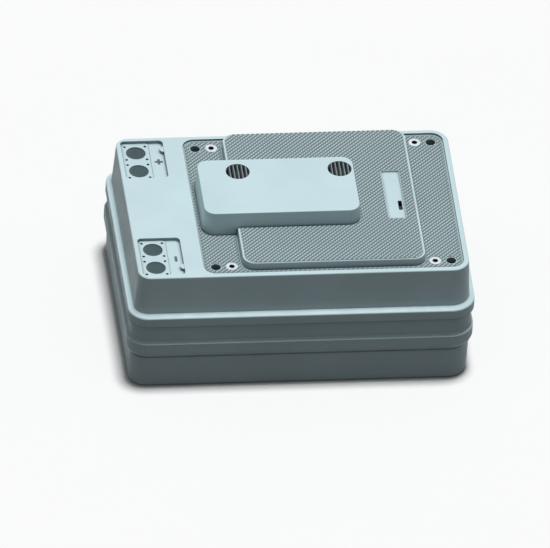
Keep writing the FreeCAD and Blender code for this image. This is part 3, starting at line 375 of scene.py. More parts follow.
class Surface(Net):
    """Nodes of a new material; what is even all over is set on its shader."""

    def __init__(self, name, colour, metallic=0.0, specular=0.5, coat=0.0):
        self.material = bpy.data.materials.new(name)
        self.material.use_nodes = True
        self.material.diffuse_color = tint(colour, 1.0)
        super().__init__(self.material.node_tree)
        self.shader = self.tree.nodes["Principled BSDF"].inputs
        self.shader["Metallic"].default_value = metallic
        self.shader["Specular IOR Level"].default_value = specular
        self.shader["Coat Weight"].default_value = coat

    def shades(self, share, colour, first, second):
        """Colour that runs between two shades of itself."""
        return self.mix(share, tint(colour, first), tint(colour, second))

    def below(self, low, high):
        return self.group(height_fade(), low=low, high=high)["Mask"]

    def paint(self, colour, roughness, height, depth, strength=1.0):
        """Feed the shader its colour, its roughness and a bump, and hand the material out."""
        bump = self.node("ShaderNodeBump", {"Strength": strength, "Distance": depth, "Height": height})
        self.feed(self.shader["Base Color"], colour)
        self.feed(self.shader["Roughness"], roughness)
        self.feed(self.shader["Normal"], bump.outputs["Normal"])
        return self.material


def moulded(name, colour, roughness=None, wear_and_highlight=None, grain=None, shade_share=1.0, cup_shade_heights=None, lip_shadow_and_seams=()):
    """Injection-moulded plastic: grain, flow tone, uneven gloss, and edges that pale partly as wear and
    partly as a painted highlight.
    The shade share scales the painted shade in its inner corners and on steep walls near others, the cup
    heights give where a deep cup is painted darker as shade, and the bands give the heights and half widths
    of the painted shadow under the lip and of the dark shut line."""
    sizes = bpy.context.scene.moulded_finish
    net = Surface(name, colour, specular=0.3)
    skin = net.group(moulded_grain(), size=grain or sizes.grain)
    worn = net.group(edge_wear(), width=sizes.wear_width)["Mask"]
    painted_shade = net.group(crevice_shade(), reach=sizes.crevice_reach, wall_reach=sizes.wall_reach)
    base = net.shades(skin["Tone"], colour, 0.965, 1.03)
    # edges paled partly as wear and partly as a painted highlight
    toned = net.mix(net.times(worn, sizes.wear_and_highlight if wear_and_highlight is None else wear_and_highlight), base, tint(colour, 1.28))
    layers = [(painted_shade["Wall"], sizes.wall_shade * shade_share, SHADED),
              (painted_shade["Corner"], sizes.crevice * shade_share, CORNER_SHADE_TINT)]
    # the foot of a deep cup painted darker as shade
    if cup_shade_heights:
        layers.append((net.below(*cup_shade_heights), sizes.dusk_shade, SHADED))
    # each band is either the painted shadow under the lip or the dark shut line
    for height, half in lip_shadow_and_seams:
        core = half * 0.4
        line = net.math("SUBTRACT", net.below(height + core, height + half),
                        net.below(height - half, height - core))
        layers.append((line, sizes.lip_shadow_and_seam_shade, LIP_SHADOW_AND_SEAM_TINT))
    for mask, share, darker in layers:
        toned = net.mix(net.times(mask, share), toned, tint(colour, darker))
    rough = sizes.roughness if roughness is None else roughness
    gloss = net.ramp(skin["Gloss"], 0.0, 1.0, rough - 0.06, rough + 0.07)
    return net.paint(toned, net.math("SUBTRACT", gloss, net.times(worn, 0.12)), skin["Height"],
                     sizes.grain_depth)


def metal(name, colour, stretch, roughness, dull=0.80):
    """Bare or plated metal with drawn lines, a dulled tone and brighter edges."""
    net = Surface(name, colour, metallic=1.0)
    lines = net.group(drawn_lines(), stretch=stretch)
    worn = net.group(edge_wear(), width=0.0005)["Mask"]
    base = net.mix(worn, net.shades(lines["Tone"], colour, dull, 1.0), tint(colour, 1.2))
    rough = net.ramp(lines["Height"], 0.3, 0.7, roughness - 0.08, roughness + 0.1)
    return net.paint(base, rough, lines["Height"], 0.00001)


def plated_insert(name, colour, bore, top_z):
    """Plated insert: bright turned flange, and the thread below it painted dark as shade in the bore."""
    net = Surface(name, colour, metallic=0.3)
    lines = net.group(drawn_lines(), stretch=(900.0, 900.0, 2500.0))
    # painted shade: dark below the flange's top
    painted_shade = net.below(top_z - 1.2 * MM, top_z - 0.1 * MM)
    base = net.mix(painted_shade, net.shades(lines["Tone"], colour, 0.9, 1.05), tint(bore, 1.0))
    return net.paint(base, net.ramp(painted_shade, 0.0, 1.0, 0.58, 0.7), lines["Height"], 0.00001)


def lid_texture_finish(name, floor_z, height):
    """Case plastic whose texture is painted a little darker than the shell, and darker still down its
    grooves and in inner corners, as painted shade.
    """
    colour = bpy.context.scene.case_colours.shell
    sizes = bpy.context.scene.moulded_finish
    net = Surface(name, colour, specular=0.3)
    skin = net.group(moulded_grain(), size=sizes.grain)
    shade = net.group(groove_shade(), floor_height=floor_z, texture_height=height)["Shade"]
    painted_shade = net.group(crevice_shade(), reach=sizes.crevice_reach, wall_reach=sizes.wall_reach)
    # painted shade: the points a little darker than the shell, the grooves much darker
    ridged = net.mix(shade, tint(colour, 0.30), net.shades(skin["Tone"], colour, 0.90, 0.97))
    corner_shaded = net.mix(net.times(painted_shade["Corner"], sizes.crevice), ridged, tint(colour, CORNER_SHADE_TINT))
    return net.paint(corner_shaded, net.ramp(shade, 0.0, 1.0, 0.72, 0.46), skin["Height"], sizes.grain_depth)


def rubber(name, colour):
    """Moulded rubber with a pale bloom."""
    net = Surface(name, colour, specular=0.3)
    skin = net.group(moulded_grain(), size=0.0006)
    base = net.shades(net.ramp(skin["Tone"], 0.2, 1.0), colour, 0.8, 1.7)
    return net.paint(base, net.ramp(skin["Gloss"], 0.0, 1.0, 0.62, 0.8), skin["Height"], 0.00002)


def foam(name, colour):
    """Closed-cell foam: small bubbles with paler rims."""
    net = Surface(name, colour, specular=0.15)
    bubbles = net.cells(net.place(), 620.0, "DISTANCE_TO_EDGE")
    rim = net.ramp(bubbles, 0.0, 0.16, 1.0, 0.0)
    return net.paint(net.shades(rim, colour, 0.75, 1.5), net.ramp(rim, 0.0, 1.0, 0.94, 0.8),
                     net.math("SUBTRACT", 1.0, bubbles), 0.0002)


def cell_can(name, film, top_z):
    """Aluminium can with film round its sides; the lid stays bare."""
    net = Surface(name, film, coat=0.15)
    bare = net.ramp(net.height(), top_z - 4.2 * MM, top_z - 4.0 * MM)
    wrinkle = net.noise(net.vector("MULTIPLY", net.place(), (30.0, 30.0, 220.0)), 1.0, 3.0, 0.6)
    lines = net.group(drawn_lines(), stretch=(900.0, 40.0, 900.0))
    film_colour = net.shades(net.ramp(wrinkle, 0.3, 0.7), film, 0.82, 1.18)
    lid = net.mix(lines["Tone"], (0.62, 0.63, 0.64, 1.0), (0.76, 0.77, 0.78, 1.0))
    net.feed(net.shader["Metallic"], bare)
    return net.paint(net.mix(bare, film_colour, lid), net.ramp(bare, 0.0, 1.0, 0.24, 0.38),
                     wrinkle, 0.00006, 0.6)


def solder_mask(name, colour):
    """Glossy mask with copper traces that show faintly through it."""
    net = Surface(name, colour, coat=0.3)
    place = net.place()
    stretched = net.vector("MULTIPLY", place, (1.0, 2.2, 1.0))
    line = net.node("ShaderNodeTexBrick", {"Vector": stretched, "Scale": 90.0, "Mortar Size": 0.035},
                    offset=0.37, offset_frequency=2).outputs["Fac"]
    cloth = net.noise(place, 900.0, 2.0, 0.5)
    base = net.shades(net.ramp(cloth, 0.3, 0.7), colour, 0.85, 1.1)
    return net.paint(net.mix(net.times(line, 0.6), base, tint(colour, 2.3)),
                     net.ramp(cloth, 0.2, 0.8, 0.2, 0.34), line, 0.00003)


def ceramic(name, colour):
    """Glazed ceramic with specks and faint crazing."""
    net = Surface(name, colour, coat=0.4)
    specks = net.ramp(net.cells(net.place(), 700.0), 0.0, 0.16, 0.35, 0.0)
    crazed = net.noise(net.place(), 70.0, 4.0, 0.6)
    base = net.shades(net.ramp(crazed, 0.3, 0.7), colour, 0.9, 1.04)
    return net.paint(net.mix(specks, base, tint(colour, 0.45)), net.ramp(crazed, 0.2, 0.8, 0.16, 0.3),
                     crazed, 0.00003)


def shield_sheet(name, colour):
    """Thin milky sheet with faint rolling lines."""
    net = Surface(name, colour)
    lines = net.group(drawn_lines(), stretch=(420.0, 12.0, 420.0))
    return net.paint(net.shades(lines["Tone"], colour, 0.88, 1.03),
                     net.ramp(lines["Height"], 0.3, 0.7, 0.22, 0.38), lines["Height"], 0.00002)


def powder_coat(name, colour):
    """Powder coat over steel, with orange peel and bare metal on rubbed edges."""
    net = Surface(name, colour)
    peel = net.noise(net.place(), 420.0, 2.0, 0.4)
    worn = net.group(edge_wear(), width=0.0006)["Mask"]
    tone = net.noise(net.place(), 20.0, 3.0, 0.5)
    base = net.shades(net.ramp(tone, 0.3, 0.7), colour, 0.9, 1.1)
    net.feed(net.shader["Metallic"], worn)
    return net.paint(net.mix(worn, base, (0.45, 0.45, 0.46, 1.0)), net.ramp(peel, 0.3, 0.7, 0.36, 0.48),
                     peel, 0.00006)


def dress(*finishes):
    """Give every CAD node the finish that is named for its slot."""
    named = {finish.name: finish for finish in finishes}
    for node, slot in slots.items():
        if slot in named:
            materials = frame["nodes"][node].data.materials
            materials.clear()
            materials.append(named[slot])


def finished(obj, body):
    """A new piece rides on its body."""
    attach(obj, body)
    return obj


# ---- Places read from the frame ----
def points_of(node):
    return [vertex.co for vertex in frame["nodes"][node].data.vertices]


def spread_of(points):
    """Lowest and highest x, then lowest and highest y, of some points."""
    xs, ys = [point.x for point in points], [point.y for point in points]
    return min(xs), max(xs), min(ys), max(ys)


def level_box(node, z, reach=0.06 * MM):
    """Spread of a node's points at one height."""
    points = [point for point in points_of(node) if abs(point.z - z) < reach]
    if not points:
        raise RuntimeError(f"{node} has no points at height {z}")
    return spread_of(points)


def level_under(node, z):
    """Highest level of a node's points that lies under the given height."""
    return max(point.z for point in points_of(node) if point.z < z)


def corner_centres(node):
    """Middle of each of the four like pieces that stand in a rectangle."""
    low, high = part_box(node)
    middle = (low + high) / 2
    centres = []
    for right in (False, True):
        for back in (False, True):
            x0, x1, y0, y1 = spread_of([point for point in points_of(node)
                                        if (point.x > middle.x) == right and (point.y > middle.y) == back])
            centres.append(((x0 + x1) / 2, (y0 + y1) / 2))
    return centres


def lid_levels():
    """Floor of the recess, top of the platform and floor of the label pocket."""
    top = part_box("upper_case")[1].z
    return lid_inserts["pos_m"][2], top, level_under("upper_case", top - LABEL_LEAST_DEPTH)


# ---- Mesh helpers ----
def linked(name, data):
    obj = bpy.data.objects.new(name, data)
    bpy.context.scene.collection.objects.link(obj)
    return obj


def arc(x, y, radius, start, turn, steps):
    """Points along an arc; the angles are in degrees."""
    angles = [math.radians(start + turn * i / steps) for i in range(steps + 1)]
    return [(x + radius * math.cos(angle), y + radius * math.sin(angle)) for angle in angles]


def round_outline(centre, radius):
    return arc(*centre, radius, 0, 360, 32)[:-1]


def rounded_outline(box, radius):
    """Points round a rectangle (x0, x1, y0, y1) with round corners."""
    x0, x1, y0, y1 = grown(box, -radius)
    corners = ((x1, y0, -90), (x1, y1, 0), (x0, y1, 90), (x0, y0, 180))
    return [point for x, y, start in corners for point in arc(x, y, radius, start, 90, 7)]


def grown(box, out):
    return (box[0] - out, box[1] + out, box[2] - out, box[3] + out)


def prism(name, outline, z0, z1):
    """Upright prism over an outline, as an object."""
    shape = bmesh.new()
    foot = shape.faces.new([shape.verts.new((x, y, z0)) for x, y in outline])
    raised = bmesh.ops.extrude_face_region(shape, geom=[foot])["geom"]
    top = [part for part in raised if isinstance(part, bmesh.types.BMVert)]
    bmesh.ops.translate(shape, vec=(0, 0, z1 - z0), verts=top)
    bmesh.ops.recalc_face_normals(shape, faces=shape.faces)
    mesh = bpy.data.meshes.new(name)
    shape.to_mesh(mesh)
    shape.free()
    return linked(name, mesh)


def applied(obj):
    """Keep the evaluated mesh and drop the modifiers."""
    shape = obj.evaluated_get(bpy.context.evaluated_depsgraph_get())
    mesh = bpy.data.meshes.new_from_object(shape)
    obj.modifiers.clear()
    obj.data = mesh
    mesh.name = obj.name
    return obj


def trimmed(obj, keep, cutters):
    """Keep what lies inside one prism and outside the others."""
    tools = [("INTERSECT", keep)] + [("DIFFERENCE", cutter) for cutter in cutters]
    for operation, tool in tools:
        modifier = obj.modifiers.new("Trim", "BOOLEAN")
        modifier.operation = operation
        modifier.solver = "MANIFOLD"
        modifier.object = tool
    applied(obj)
    for _, tool in tools:
        bpy.data.objects.remove(tool)
    return obj


def grown_by_nodes(name, net, values, points=()):
    """Run a Geometry Nodes tree on the given points and keep its plain mesh."""
    mesh = bpy.data.meshes.new(name)
    mesh.from_pydata([tuple(point) for point in points], [], [])
    obj = linked(name, mesh)
    modifier = obj.modifiers.new("Build", "NODES")
    modifier.node_group = net.tree
    names = {item.name: item.identifier for item in net.tree.interface.items_tree
             if item.item_type == "SOCKET" and item.in_out == "INPUT"}
    for label, value in values.items():
        modifier[names[label]] = value
    applied(obj)
    if not obj.data.polygons:
        raise RuntimeError(f"{name} came out empty")
    return obj


def planted(name, body, slot, net, values, spots=()):
    """Piece that a tree sets on its spots, in the finish of its slot."""
    obj = grown_by_nodes(name, net, values | {"Finish": bpy.data.materials[slot]}, spots)
    return finished(obj, body)


# ---- Geometry Nodes trees ----
def end_tree(net, given, made, geometry):
    """Realise the instances, set the finish and hand the result out."""
    real = net.node("GeometryNodeRealizeInstances", {"Geometry": geometry})
    coat = net.node("GeometryNodeSetMaterial", {"Geometry": real.outputs[0], "Material": given["Finish"]})
    net.feed(made["Geometry"], coat.outputs[0])
    return net


def ring(net, radius, resolution):
    fed = {"Resolution": resolution, "Radius": radius}
    return net.node("GeometryNodeCurvePrimitiveCircle", fed).outputs["Curve"]


def oblong(net, width, height):
    fed = {"Width": width, "Height": height}
    return net.node("GeometryNodeCurvePrimitiveQuadrilateral", fed).outputs["Curve"]


def swept(net, path, profile, closed_ends=True):
    """Profile carried along a path, as a mesh."""
    fed = {"Curve": path, "Profile Curve": profile, "Fill Caps": closed_ends}
    return net.node("GeometryNodeCurveToMesh", fed).outputs["Mesh"]


def set_spots(net, spots, instance, scale=(1.0, 1.0, 1.0)):
    fed = {"Points": spots, "Instance": instance, "Scale": scale}
    return net.node("GeometryNodeInstanceOnPoints", fed).outputs["Instances"]


def ridge_sheet_tree():
    """Sheet whose upper side carries diagonal ridges, each notched into a row of points."""
    net, given, made = shape_group("Ridge Sheet", {
        "Centre": (0.0, 0.0, 0.0), "Length": 0.1, "Width": 0.1, "Spacing": 0.005, "Height": 0.0015,
        "Notch": 0.5, "Thickness": 0.0003})
    step = net.times(given["Spacing"], 0.5)
    side = net.math("DIVIDE", net.math("ADD", given["Length"], given["Width"]), math.sqrt(2.0))
    count = net.times(net.math("CEIL", net.math("DIVIDE", side, given["Spacing"])), 2.0)
    across = net.times(count, step)
    rows = net.math("ADD", count, 1.0)
    block = net.node("GeometryNodeMeshCube", {
        "Size": net.join(across, across, given["Thickness"]),
        "Vertices X": rows, "Vertices Y": rows, "Vertices Z": 2})
    point = net.split(net.node("GeometryNodeInputPosition").outputs[0])
    odd = []
    for axis in ("X", "Y"):
        place = net.math("ADD", net.math("DIVIDE", point[axis], step), net.times(count, 0.5))
        odd.append(net.math("FLOORED_MODULO", net.math("ROUND", place), 2.0))
    crest = net.times(odd[1], net.math("GREATER_THAN", point["Z"], 0.0))
    full = net.times(odd[0], net.math("SUBTRACT", 1.0, given["Notch"]))
    share = net.times(crest, net.math("ADD", given["Notch"], full))
    lifted = net.node("GeometryNodeSetPosition", {
        "Geometry": block.outputs["Mesh"], "Offset": net.join(z=net.times(share, given["Height"]))})
    move = net.node("GeometryNodeTransform", {
        "Geometry": lifted.outputs[0], "Translation": given["Centre"],
        "Rotation": (0.0, 0.0, math.radians(45.0))})
    return end_tree(net, given, made, move.outputs[0])


def thread_tree():
    """Helical ridge, set on every given point and rising from it."""
    net, given, made = shape_group("Thread", {
        "Geometry": SHAPE, "Radius": 0.004, "Pitch": 0.0015, "Length": 0.015, "Depth": 0.0004})
    path = net.node("GeometryNodeCurveSpiral", {
        "Resolution": 28, "Rotations": net.math("DIVIDE", given["Length"], given["Pitch"]),
        "Start Radius": given["Radius"], "End Radius": given["Radius"], "Height": given["Length"]})
    ridge = swept(net, path.outputs["Curve"], ring(net, given["Depth"], 4))
    return end_tree(net, given, made, set_spots(net, given["Geometry"], ridge))


def ridge_row_tree():
    """Row of half-sunk round ridges with closed ends, each lying along one axis."""
    net, given, made = shape_group("Ridge Row", {
        "First": (0.0, 0.0, 0.0), "Step": (0.0, 0.001, 0.0), "Count": 5, "Length": 0.005, "Radius": 0.0004})
    row = net.node("GeometryNodeMeshLine", {
        "Count": given["Count"], "Start Location": given["First"], "Offset": given["Step"]})
    ends = [net.join(net.times(given["Length"], share)) for share in (-0.5, 0.5)]
    line = net.node("GeometryNodeCurvePrimitiveLine", {"Start": ends[0], "End": ends[1]})
    ridge = swept(net, line.outputs["Curve"], ring(net, given["Radius"], 12))
    return end_tree(net, given, made, set_spots(net, row.outputs["Mesh"], ridge))


def cell_vent_tree():
    """Oval safety vent with a raised frame, set on every given point."""
    net, given, made = shape_group("Cell Vent", {
        "Geometry": SHAPE, "Length": 0.02, "Width": 0.011, "Rim": 0.0007})
    oval = net.node("GeometryNodeFilletCurve", {
        "Count": 8, "Curve": oblong(net, given["Width"], given["Length"]),
        "Radius": net.times(given["Width"], 0.499)}, mode="POLY")
    rim = swept(net, oval.outputs["Curve"], ring(net, given["Rim"], 8), closed_ends=False)
    return end_tree(net, given, made, set_spots(net, given["Geometry"], rim))


def board_parts_tree():
    """Small flat-topped parts of mixed size, one on each given point."""
    net, given, made = shape_group("Board Parts", {
        "Geometry": SHAPE, "Smallest": (0.4, 0.4, 0.5), "Largest": (1.6, 1.3, 1.8),
        "Size": 0.0025, "Seed": 0})
    post = net.node("GeometryNodeCurvePrimitiveLine", {"End": net.join(z=given["Size"])})
    body = swept(net, post.outputs["Curve"], oblong(net, given["Size"], given["Size"]))
    mixed = net.node("FunctionNodeRandomValue", {
        0: given["Smallest"], 1: given["Largest"], "Seed": given["Seed"]}, data_type="FLOAT_VECTOR")
    return end_tree(net, given, made, set_spots(net, given["Geometry"], body, mixed.outputs[0]))


# ---- Operators ----
class BATTERYCASE_OT_case_plastics(bpy.types.Operator):
    """Give the case, cover, vents, terminal plates and sockets their moulded plastic"""
    bl_idname = "battery_case.case_plastics"
    bl_label = "Case Plastics"

    def execute(self, context):
        colours = context.scene.case_colours
        cup, mouth = (corner.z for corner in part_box("positive_inner_socket"))
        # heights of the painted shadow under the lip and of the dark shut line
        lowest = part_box("lower_case")[0].y
        lip_z = min(point.z for point in points_of("lower_case") if point.y < lowest + NEAR)
        shut_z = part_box("upper_case")[0].z
        dress(moulded("case_plastic", colours.shell, lip_shadow_and_seams=((lip_z - LIP_SHADE_DROP, LIP_SHADE_HALF),
                                                            (shut_z, SHUT_LINE_HALF))),
              moulded("plate_plastic", tint(colours.shell, 0.97), 0.46, grain=0.0008),
              moulded("vent_plastic", colours.shaded_vent, 0.5, wear_and_highlight=0.25),
              moulded("socket_plastic", colours.socket, 0.55, wear_and_highlight=0.3, shade_share=0.12,
                      cup_shade_heights=(cup, cup + (mouth - cup) * 0.45)))
        return {"FINISHED"}


class BATTERYCASE_OT_metals(bpy.types.Operator):
    """Give screws, inserts, contacts, bars, links and the heat sink their metals"""
    bl_idname = "battery_case.metals"
    bl_label = "Metal Parts"

    def execute(self, context):
        dress(metal("contact_brass", (0.40, 0.30, 0.15), (700.0, 700.0, 700.0), 0.56),
              # the second colour is the painted shade in the bore
              plated_insert("insert_brass", (0.66, 0.73, 0.75), (0.035, 0.037, 0.036),
                            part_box("threaded_inserts")[1].z),
              metal("standoff_brass", (0.74, 0.58, 0.30), (200.0, 200.0, 2600.0), 0.32),
              metal("screw_steel", (0.56, 0.57, 0.60), (800.0, 800.0, 1600.0), 0.36),
              metal("sink_aluminium", (0.72, 0.73, 0.75), (30.0, 1500.0, 1500.0), 0.34),
              metal("link_aluminium", (0.80, 0.81, 0.82), (1300.0, 40.0, 1300.0), 0.30),
              metal("bar_copper", (0.82, 0.38, 0.20), (1300.0, 40.0, 1300.0), 0.28, dull=0.62),
              powder_coat("frame_steel", (0.075, 0.085, 0.095)))
        return {"FINISHED"}


class BATTERYCASE_OT_inside_finishes(bpy.types.Operator):
    """Give the seal, cells, foam, shield, board, fans, switch and fuse their finishes"""
    bl_idname = "battery_case.inside_finishes"
    bl_label = "Seal, Cells, Board and Fans"

    def execute(self, context):
        colours = context.scene.case_colours
        dress(rubber("seal_rubber", (0.018, 0.018, 0.020)),
              moulded("fan_plastic", colours.black, 0.38, wear_and_highlight=0.5),
              moulded("switch_plastic", colours.black, 0.50, wear_and_highlight=0.8),
              moulded("contactor_plastic", tint(colours.black, 1.3), 0.46, wear_and_highlight=0.4),
              moulded("chip_black", tint(colours.black, 0.8), 0.42, wear_and_highlight=0.2, grain=0.0004),
              solder_mask("board_green", colours.board),
              cell_can("cell_can", colours.film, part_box("front_cells")[1].z),
              shield_sheet("shield_plastic", (0.76, 0.78, 0.77)),
              foam("foam", (0.035, 0.036, 0.038)),
              ceramic("fuse_ceramic", (0.78, 0.76, 0.69)))
        return {"FINISHED"}


class BATTERYCASE_OT_lid_texture(bpy.types.Operator):
    """Lay the ridged texture over the recess of the lid and the raised platform"""
    bl_idname = "battery_case.lid_texture"
    bl_label = "Lid Texture"

    def execute(self, context):
        sizes = context.scene.lid_texture
        tree = ridge_sheet_tree()
        floor_z, top_z, label_z = lid_levels()
        low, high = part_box("electronics_cover")
        cover = (low.x, high.x, low.y, high.y)
        top = level_box("upper_case", top_z)
        recess = level_box("upper_case", floor_z)
        label = level_box("upper_case", label_z)
        draft = (top_z - floor_z) * math.tan(PLATFORM_DRAFT) + PLATFORM_FILLET
        foot = grown(top, draft + sizes.foot_margin)
        rings = [round_outline(spot, WELL_RADIUS + sizes.well_margin)
                 for spot in corner_centres("case_screws")]
        rings += [round_outline(spot, FLANGE_RADIUS + sizes.flange_margin)
                  for spot in corner_centres("threaded_inserts")]
        keep = rounded_outline(grown(recess, -sizes.rim_margin), RECESS_CORNER - sizes.rim_margin)
        self.sheet(tree, "lid_texture_low", floor_z, recess, keep,
                   [rounded_outline(foot, PLATFORM_FOOT_CORNER),
                    rounded_outline(grown(cover, sizes.foot_margin), COVER_CORNER)] + rings)
        edge = (top[0] + sizes.side_margin, top[1] - sizes.side_margin,
                top[2] + sizes.edge_margin, top[3] - sizes.edge_margin)
        self.sheet(tree, "lid_texture_high", top_z, top, rounded_outline(edge, PLATFORM_CORNER),
                   [rounded_outline(grown(cover, sizes.cover_margin), COVER_CORNER),
                    rounded_outline(grown(label, sizes.label_margin), LABEL_CORNER)])
        return {"FINISHED"}

    def sheet(self, net, name, z, box, keep, holes):
        """One textured sheet, sunk a little in the lid and cut to its outline."""
        sizes = bpy.context.scene.lid_texture
        spread = grown(box, sizes.pitch)
        thickness = sizes.sink + sizes.lift
        finish = lid_texture_finish(name, z + sizes.lift, sizes.height)
        centre = ((box[0] + box[1]) / 2, (box[2] + box[3]) / 2, z - sizes.sink + thickness / 2)
        obj = grown_by_nodes(name, net, {
            "Centre": centre, "Length": spread[1] - spread[0], "Width": spread[3] - spread[2],
            "Spacing": sizes.pitch / math.sqrt(2.0), "Height": sizes.height, "Notch": sizes.notch,
            "Thickness": thickness, "Finish": finish})
        bottom, over = z - CUTTER_REACH, z + CUTTER_REACH
        trimmed(obj, prism("keep", keep, bottom, over),
                [prism("hole", hole, bottom - MM, over + MM) for hole in holes])
        finished(obj, "case")


class BATTERYCASE_OT_pole_signs(bpy.types.Operator):
    """Set the plus and minus signs in the floors of the terminal pockets"""
    bl_idname = "battery_case.pole_signs"
    bl_label = "Pole Signs"

    def execute(self, context):
        sizes = context.scene.pole_signs
        finish = moulded("pole_sign", context.scene.case_colours.sign, 0.5, wear_and_highlight=0.3)
        half, arm = sizes.length / 2, sizes.width / 2
        plus = [(arm, -half), (arm, -arm), (half, -arm), (half, arm), (arm, arm), (arm, half),
                (-arm, half), (-arm, arm), (-half, arm), (-half, -arm), (-arm, -arm), (-arm, -half)]
        minus = [(arm, -half), (arm, half), (-arm, half), (-arm, -half)]
        for name, plate, outline in (("plus_sign", "positive_terminal_plate", plus),
                                     ("minus_sign", "negative_terminal_plate", minus)):
            low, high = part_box(plate)
            floor_z = high.z - PLATE_PROUD
            x, y = high.x + SIGN_FROM_PLATE, (low.y + high.y) / 2
            sign = prism(name, [(x + a, y + b) for a, b in outline],
                         floor_z - SIGN_SINK, floor_z + sizes.relief)
            bevel = sign.modifiers.new("Bevel", "BEVEL")
            bevel.width = sizes.bevel
            bevel.segments = 2
            applied(sign)
            sign.data.materials.append(finish)
            finished(sign, "case")
        return {"FINISHED"}


class BATTERYCASE_OT_threads(bpy.types.Operator):
    """Cut the thread of the four lid inserts as a ridge inside each bore"""
    bl_idname = "battery_case.threads"
    bl_label = "Insert Threads"

    def execute(self, context):
        sizes = context.scene.thread_sizes
        low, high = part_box("threaded_inserts")
        bore = lid_inserts["dims"]["hole_r_mm"] * MM
        spots = [(x, y, low.z + THREAD_START) for x, y in corner_centres("threaded_inserts")]
        planted("insert_threads", "case", "insert_brass", thread_tree(), {
            "Radius": bore + THREAD_ROOT, "Pitch": sizes.insert_pitch, "Depth": sizes.depth,
            "Length": high.z - low.z - THREAD_PLAIN_ENDS}, spots)
        return {"FINISHED"}


class BATTERYCASE_OT_switch_ridges(bpy.types.Operator):
    """Set a row of grip ridges across the switch knob"""
    bl_idname = "battery_case.switch_ridges"
    bl_label = "Switch Ridges"

    def execute(self, context):
        low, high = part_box("switch_slider")
        if high.z > lid_levels()[2]:
            raise RuntimeError("the knob stands above the label pocket")
        x0, x1, y0, y1 = level_box("switch_slider", high.z, NEAR)
        step = (y1 - y0) / KNOB_RIDGES
        planted("knob_ridges", "switch_knob", "switch_plastic", ridge_row_tree(), {
            "First": ((low.x + high.x) / 2, y0 + step / 2, high.z), "Step": (0.0, step, 0.0),
            "Count": KNOB_RIDGES, "Length": x1 - x0 - KNOB_RIDGE_MARGIN, "Radius": KNOB_RIDGE_RADIUS})
        return {"FINISHED"}


class BATTERYCASE_OT_cell_vents(bpy.types.Operator):
    """Set an oval safety vent in the lid of every cell"""
    bl_idname = "battery_case.cell_vents"
    bl_label = "Cell Vents"

    def execute(self, context):
        sizes = context.scene.inside_detail
        spots = []
        for node in ("front_cells", "back_cells"):
            low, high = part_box(node)
            lid_z = level_under(node, high.z - CELL_LID_EDGE)
            step = (high.x - low.x) / sizes.cells_in_row
            spots += [(low.x + step * (i + 0.5), (low.y + high.y) / 2, lid_z)
                      for i in range(sizes.cells_in_row)]
        planted("cell_vents", "case", "link_aluminium", cell_vent_tree(),
                {"Length": sizes.vent_length}, spots)
        return {"FINISHED"}


class BATTERYCASE_OT_board_parts(bpy.types.Operator):
    """Spread small parts over the free half of the control board"""
    bl_idname = "battery_case.board_parts"
    bl_label = "Board Parts"

    def execute(self, context):
        sizes = context.scene.inside_detail
        low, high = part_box("control_board")
        taken = [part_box(node) for node in ("heat_sink", "board_chips")]
        screws = [(x, y) for x in (low.x, high.x) for y in (low.y, high.y)]
        spots = []
        for i in range(1, int((high.x - low.x) / BOARD_STEP)):
            for j in range(1, int((high.y - low.y) / BOARD_STEP)):
                x, y = low.x + i * BOARD_STEP, low.y + j * BOARD_STEP
                blocked = any(a.x - BOARD_GAP < x < b.x + BOARD_GAP and a.y - BOARD_GAP < y < b.y + BOARD_GAP
                              for a, b in taken)
                at_screw = any(math.hypot(x - sx, y - sy) < BOARD_SCREW_GAP for sx, sy in screws)
                # a fixed rule thins the rows, so that the parts stand in loose clusters
                if not blocked and not at_screw and (i * 7 + j * j * 3 + sizes.seed) % 5 < 3:
                    spots.append((x, y, high.z - BOARD_PART_SINK))
        planted("board_parts", "case", "chip_black", board_parts_tree(), {"Seed": sizes.seed},
                spots[:sizes.board_parts])
        return {"FINISHED"}


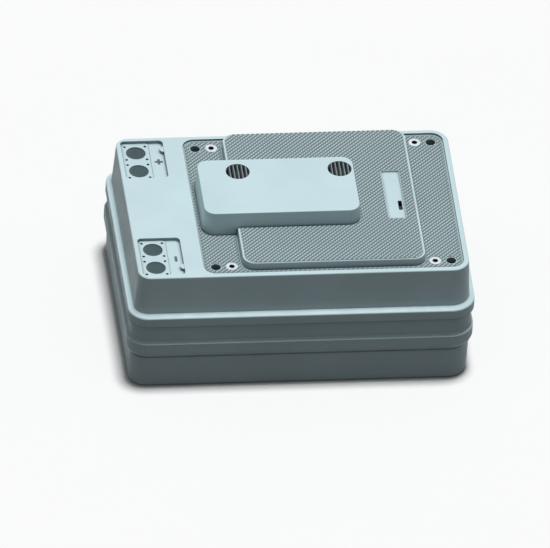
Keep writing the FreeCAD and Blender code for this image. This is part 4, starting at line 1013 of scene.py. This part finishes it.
class BATTERYCASE_OT_stage(bpy.types.Operator):
    """Set up the floor, the light, the room and the camera"""
    bl_idname = "battery_case.stage"
    bl_label = "Stage"

    def execute(self, context):
        scene = context.scene
        light = scene.stage_light
        self.floor(light)
        self.room(scene, light)
        self.overhead(light)
        self.camera(scene)
        scene.view_settings.view_transform = "Standard"
        return {"FINISHED"}

    def floor(self, light):
        half, corner, foot, top = 6.0, 1.0, -0.02, -0.0002
        floor = prism("floor", rounded_outline((-half, half, -half, half), corner), foot, top)
        net = Surface("stage_floor", light.floor, specular=0.0)
        paper = net.noise(net.place(), 3.0, 2.0, 0.5)
        pale = net.mix(paper, tint(light.floor, 0.995), tint(light.floor, 1.005))
        net.feed(net.shader["Base Color"], net.mix(net.seen(), tint(light.floor_bounce, 1.0), pale))
        net.shader["Roughness"].default_value = 0.9
        floor.data.materials.append(net.material)

    def room(self, scene, light):
        world = scene.world or bpy.data.worlds.new("room")
        scene.world = world
        world.use_nodes = True
        net = Net(world.node_tree)
        back = world.node_tree.nodes["Background"]
        back.inputs["Color"].default_value = (1.0, 1.0, 1.0, 1.0)
        net.feed(back.inputs["Strength"], net.math("MAXIMUM", net.seen(), light.ambient))

    def overhead(self, light):
        lamp = bpy.data.lights.new("overhead", "SUN")
        lamp.energy = light.key
        lamp.angle = light.softness
        obj = linked("overhead", lamp)
        obj.rotation_euler = (math.radians(-2.0), light.lean, 0.0)

    def camera(self, scene):
        """Parallel view; right, above and distance set the camera's place in its own axes."""
        width, right, above, distance = 0.818, -0.0164, 0.0528, 2.5
        across = Vector((0.9928, -0.1094, 0.0507)).normalized()
        back = Vector((-0.1172, -0.7776, 0.6180))
        back = (back - across * back.dot(across)).normalized()
        up = back.cross(across)
        lens = bpy.data.cameras.new("camera")
        lens.type = "ORTHO"
        lens.ortho_scale = width
        obj = linked("camera", lens)
        place = across * right + up * above + back * distance
        turn = Matrix((across, up, back)).transposed().to_4x4()
        obj.matrix_world = Matrix.Translation(place) @ turn
        scene.camera = obj


class BATTERYCASE_PT_finish(bpy.types.Panel):
    """Sizes, colours and steps of the battery case's finish"""
    bl_idname = "BATTERYCASE_PT_finish"
    bl_label = "Battery Case"
    bl_space_type = "VIEW_3D"
    bl_region_type = "UI"
    bl_category = "Battery Case"

    def draw(self, context):
        for attribute, group in GROUPS:
            box = self.layout.box()
            box.label(text=attribute.replace("_", " ").capitalize())
            for name in group.__annotations__:
                box.prop(getattr(context.scene, attribute), name)
        for operator in OPERATORS:
            self.layout.operator(operator.bl_idname)


GROUPS = (("case_colours", CaseColours), ("moulded_finish", MouldedFinish),
          ("lid_texture", LidTextureSizes), ("pole_signs", PoleSignSizes),
          ("thread_sizes", ThreadSizes), ("inside_detail", InsideDetail),
          ("stage_light", StageLight))
OPERATORS = (BATTERYCASE_OT_case_plastics, BATTERYCASE_OT_metals, BATTERYCASE_OT_inside_finishes,
             BATTERYCASE_OT_lid_texture, BATTERYCASE_OT_pole_signs, BATTERYCASE_OT_threads,
             BATTERYCASE_OT_switch_ridges, BATTERYCASE_OT_cell_vents, BATTERYCASE_OT_board_parts,
             BATTERYCASE_OT_stage)


def register():
    for attribute, group in GROUPS:
        bpy.utils.register_class(group)
        setattr(bpy.types.Scene, attribute, bpy.props.PointerProperty(type=group))
    for operator in OPERATORS:
        bpy.utils.register_class(operator)
    bpy.utils.register_class(BATTERYCASE_PT_finish)


def unregister():
    bpy.utils.unregister_class(BATTERYCASE_PT_finish)
    for operator in reversed(OPERATORS):
        bpy.utils.unregister_class(operator)
    for attribute, group in reversed(GROUPS):
        delattr(bpy.types.Scene, attribute)
        bpy.utils.unregister_class(group)


def main():
    register()
    for operator in OPERATORS:
        getattr(bpy.ops.battery_case, operator.bl_idname.partition(".")[2])()


if __name__ == "__main__":
    main()
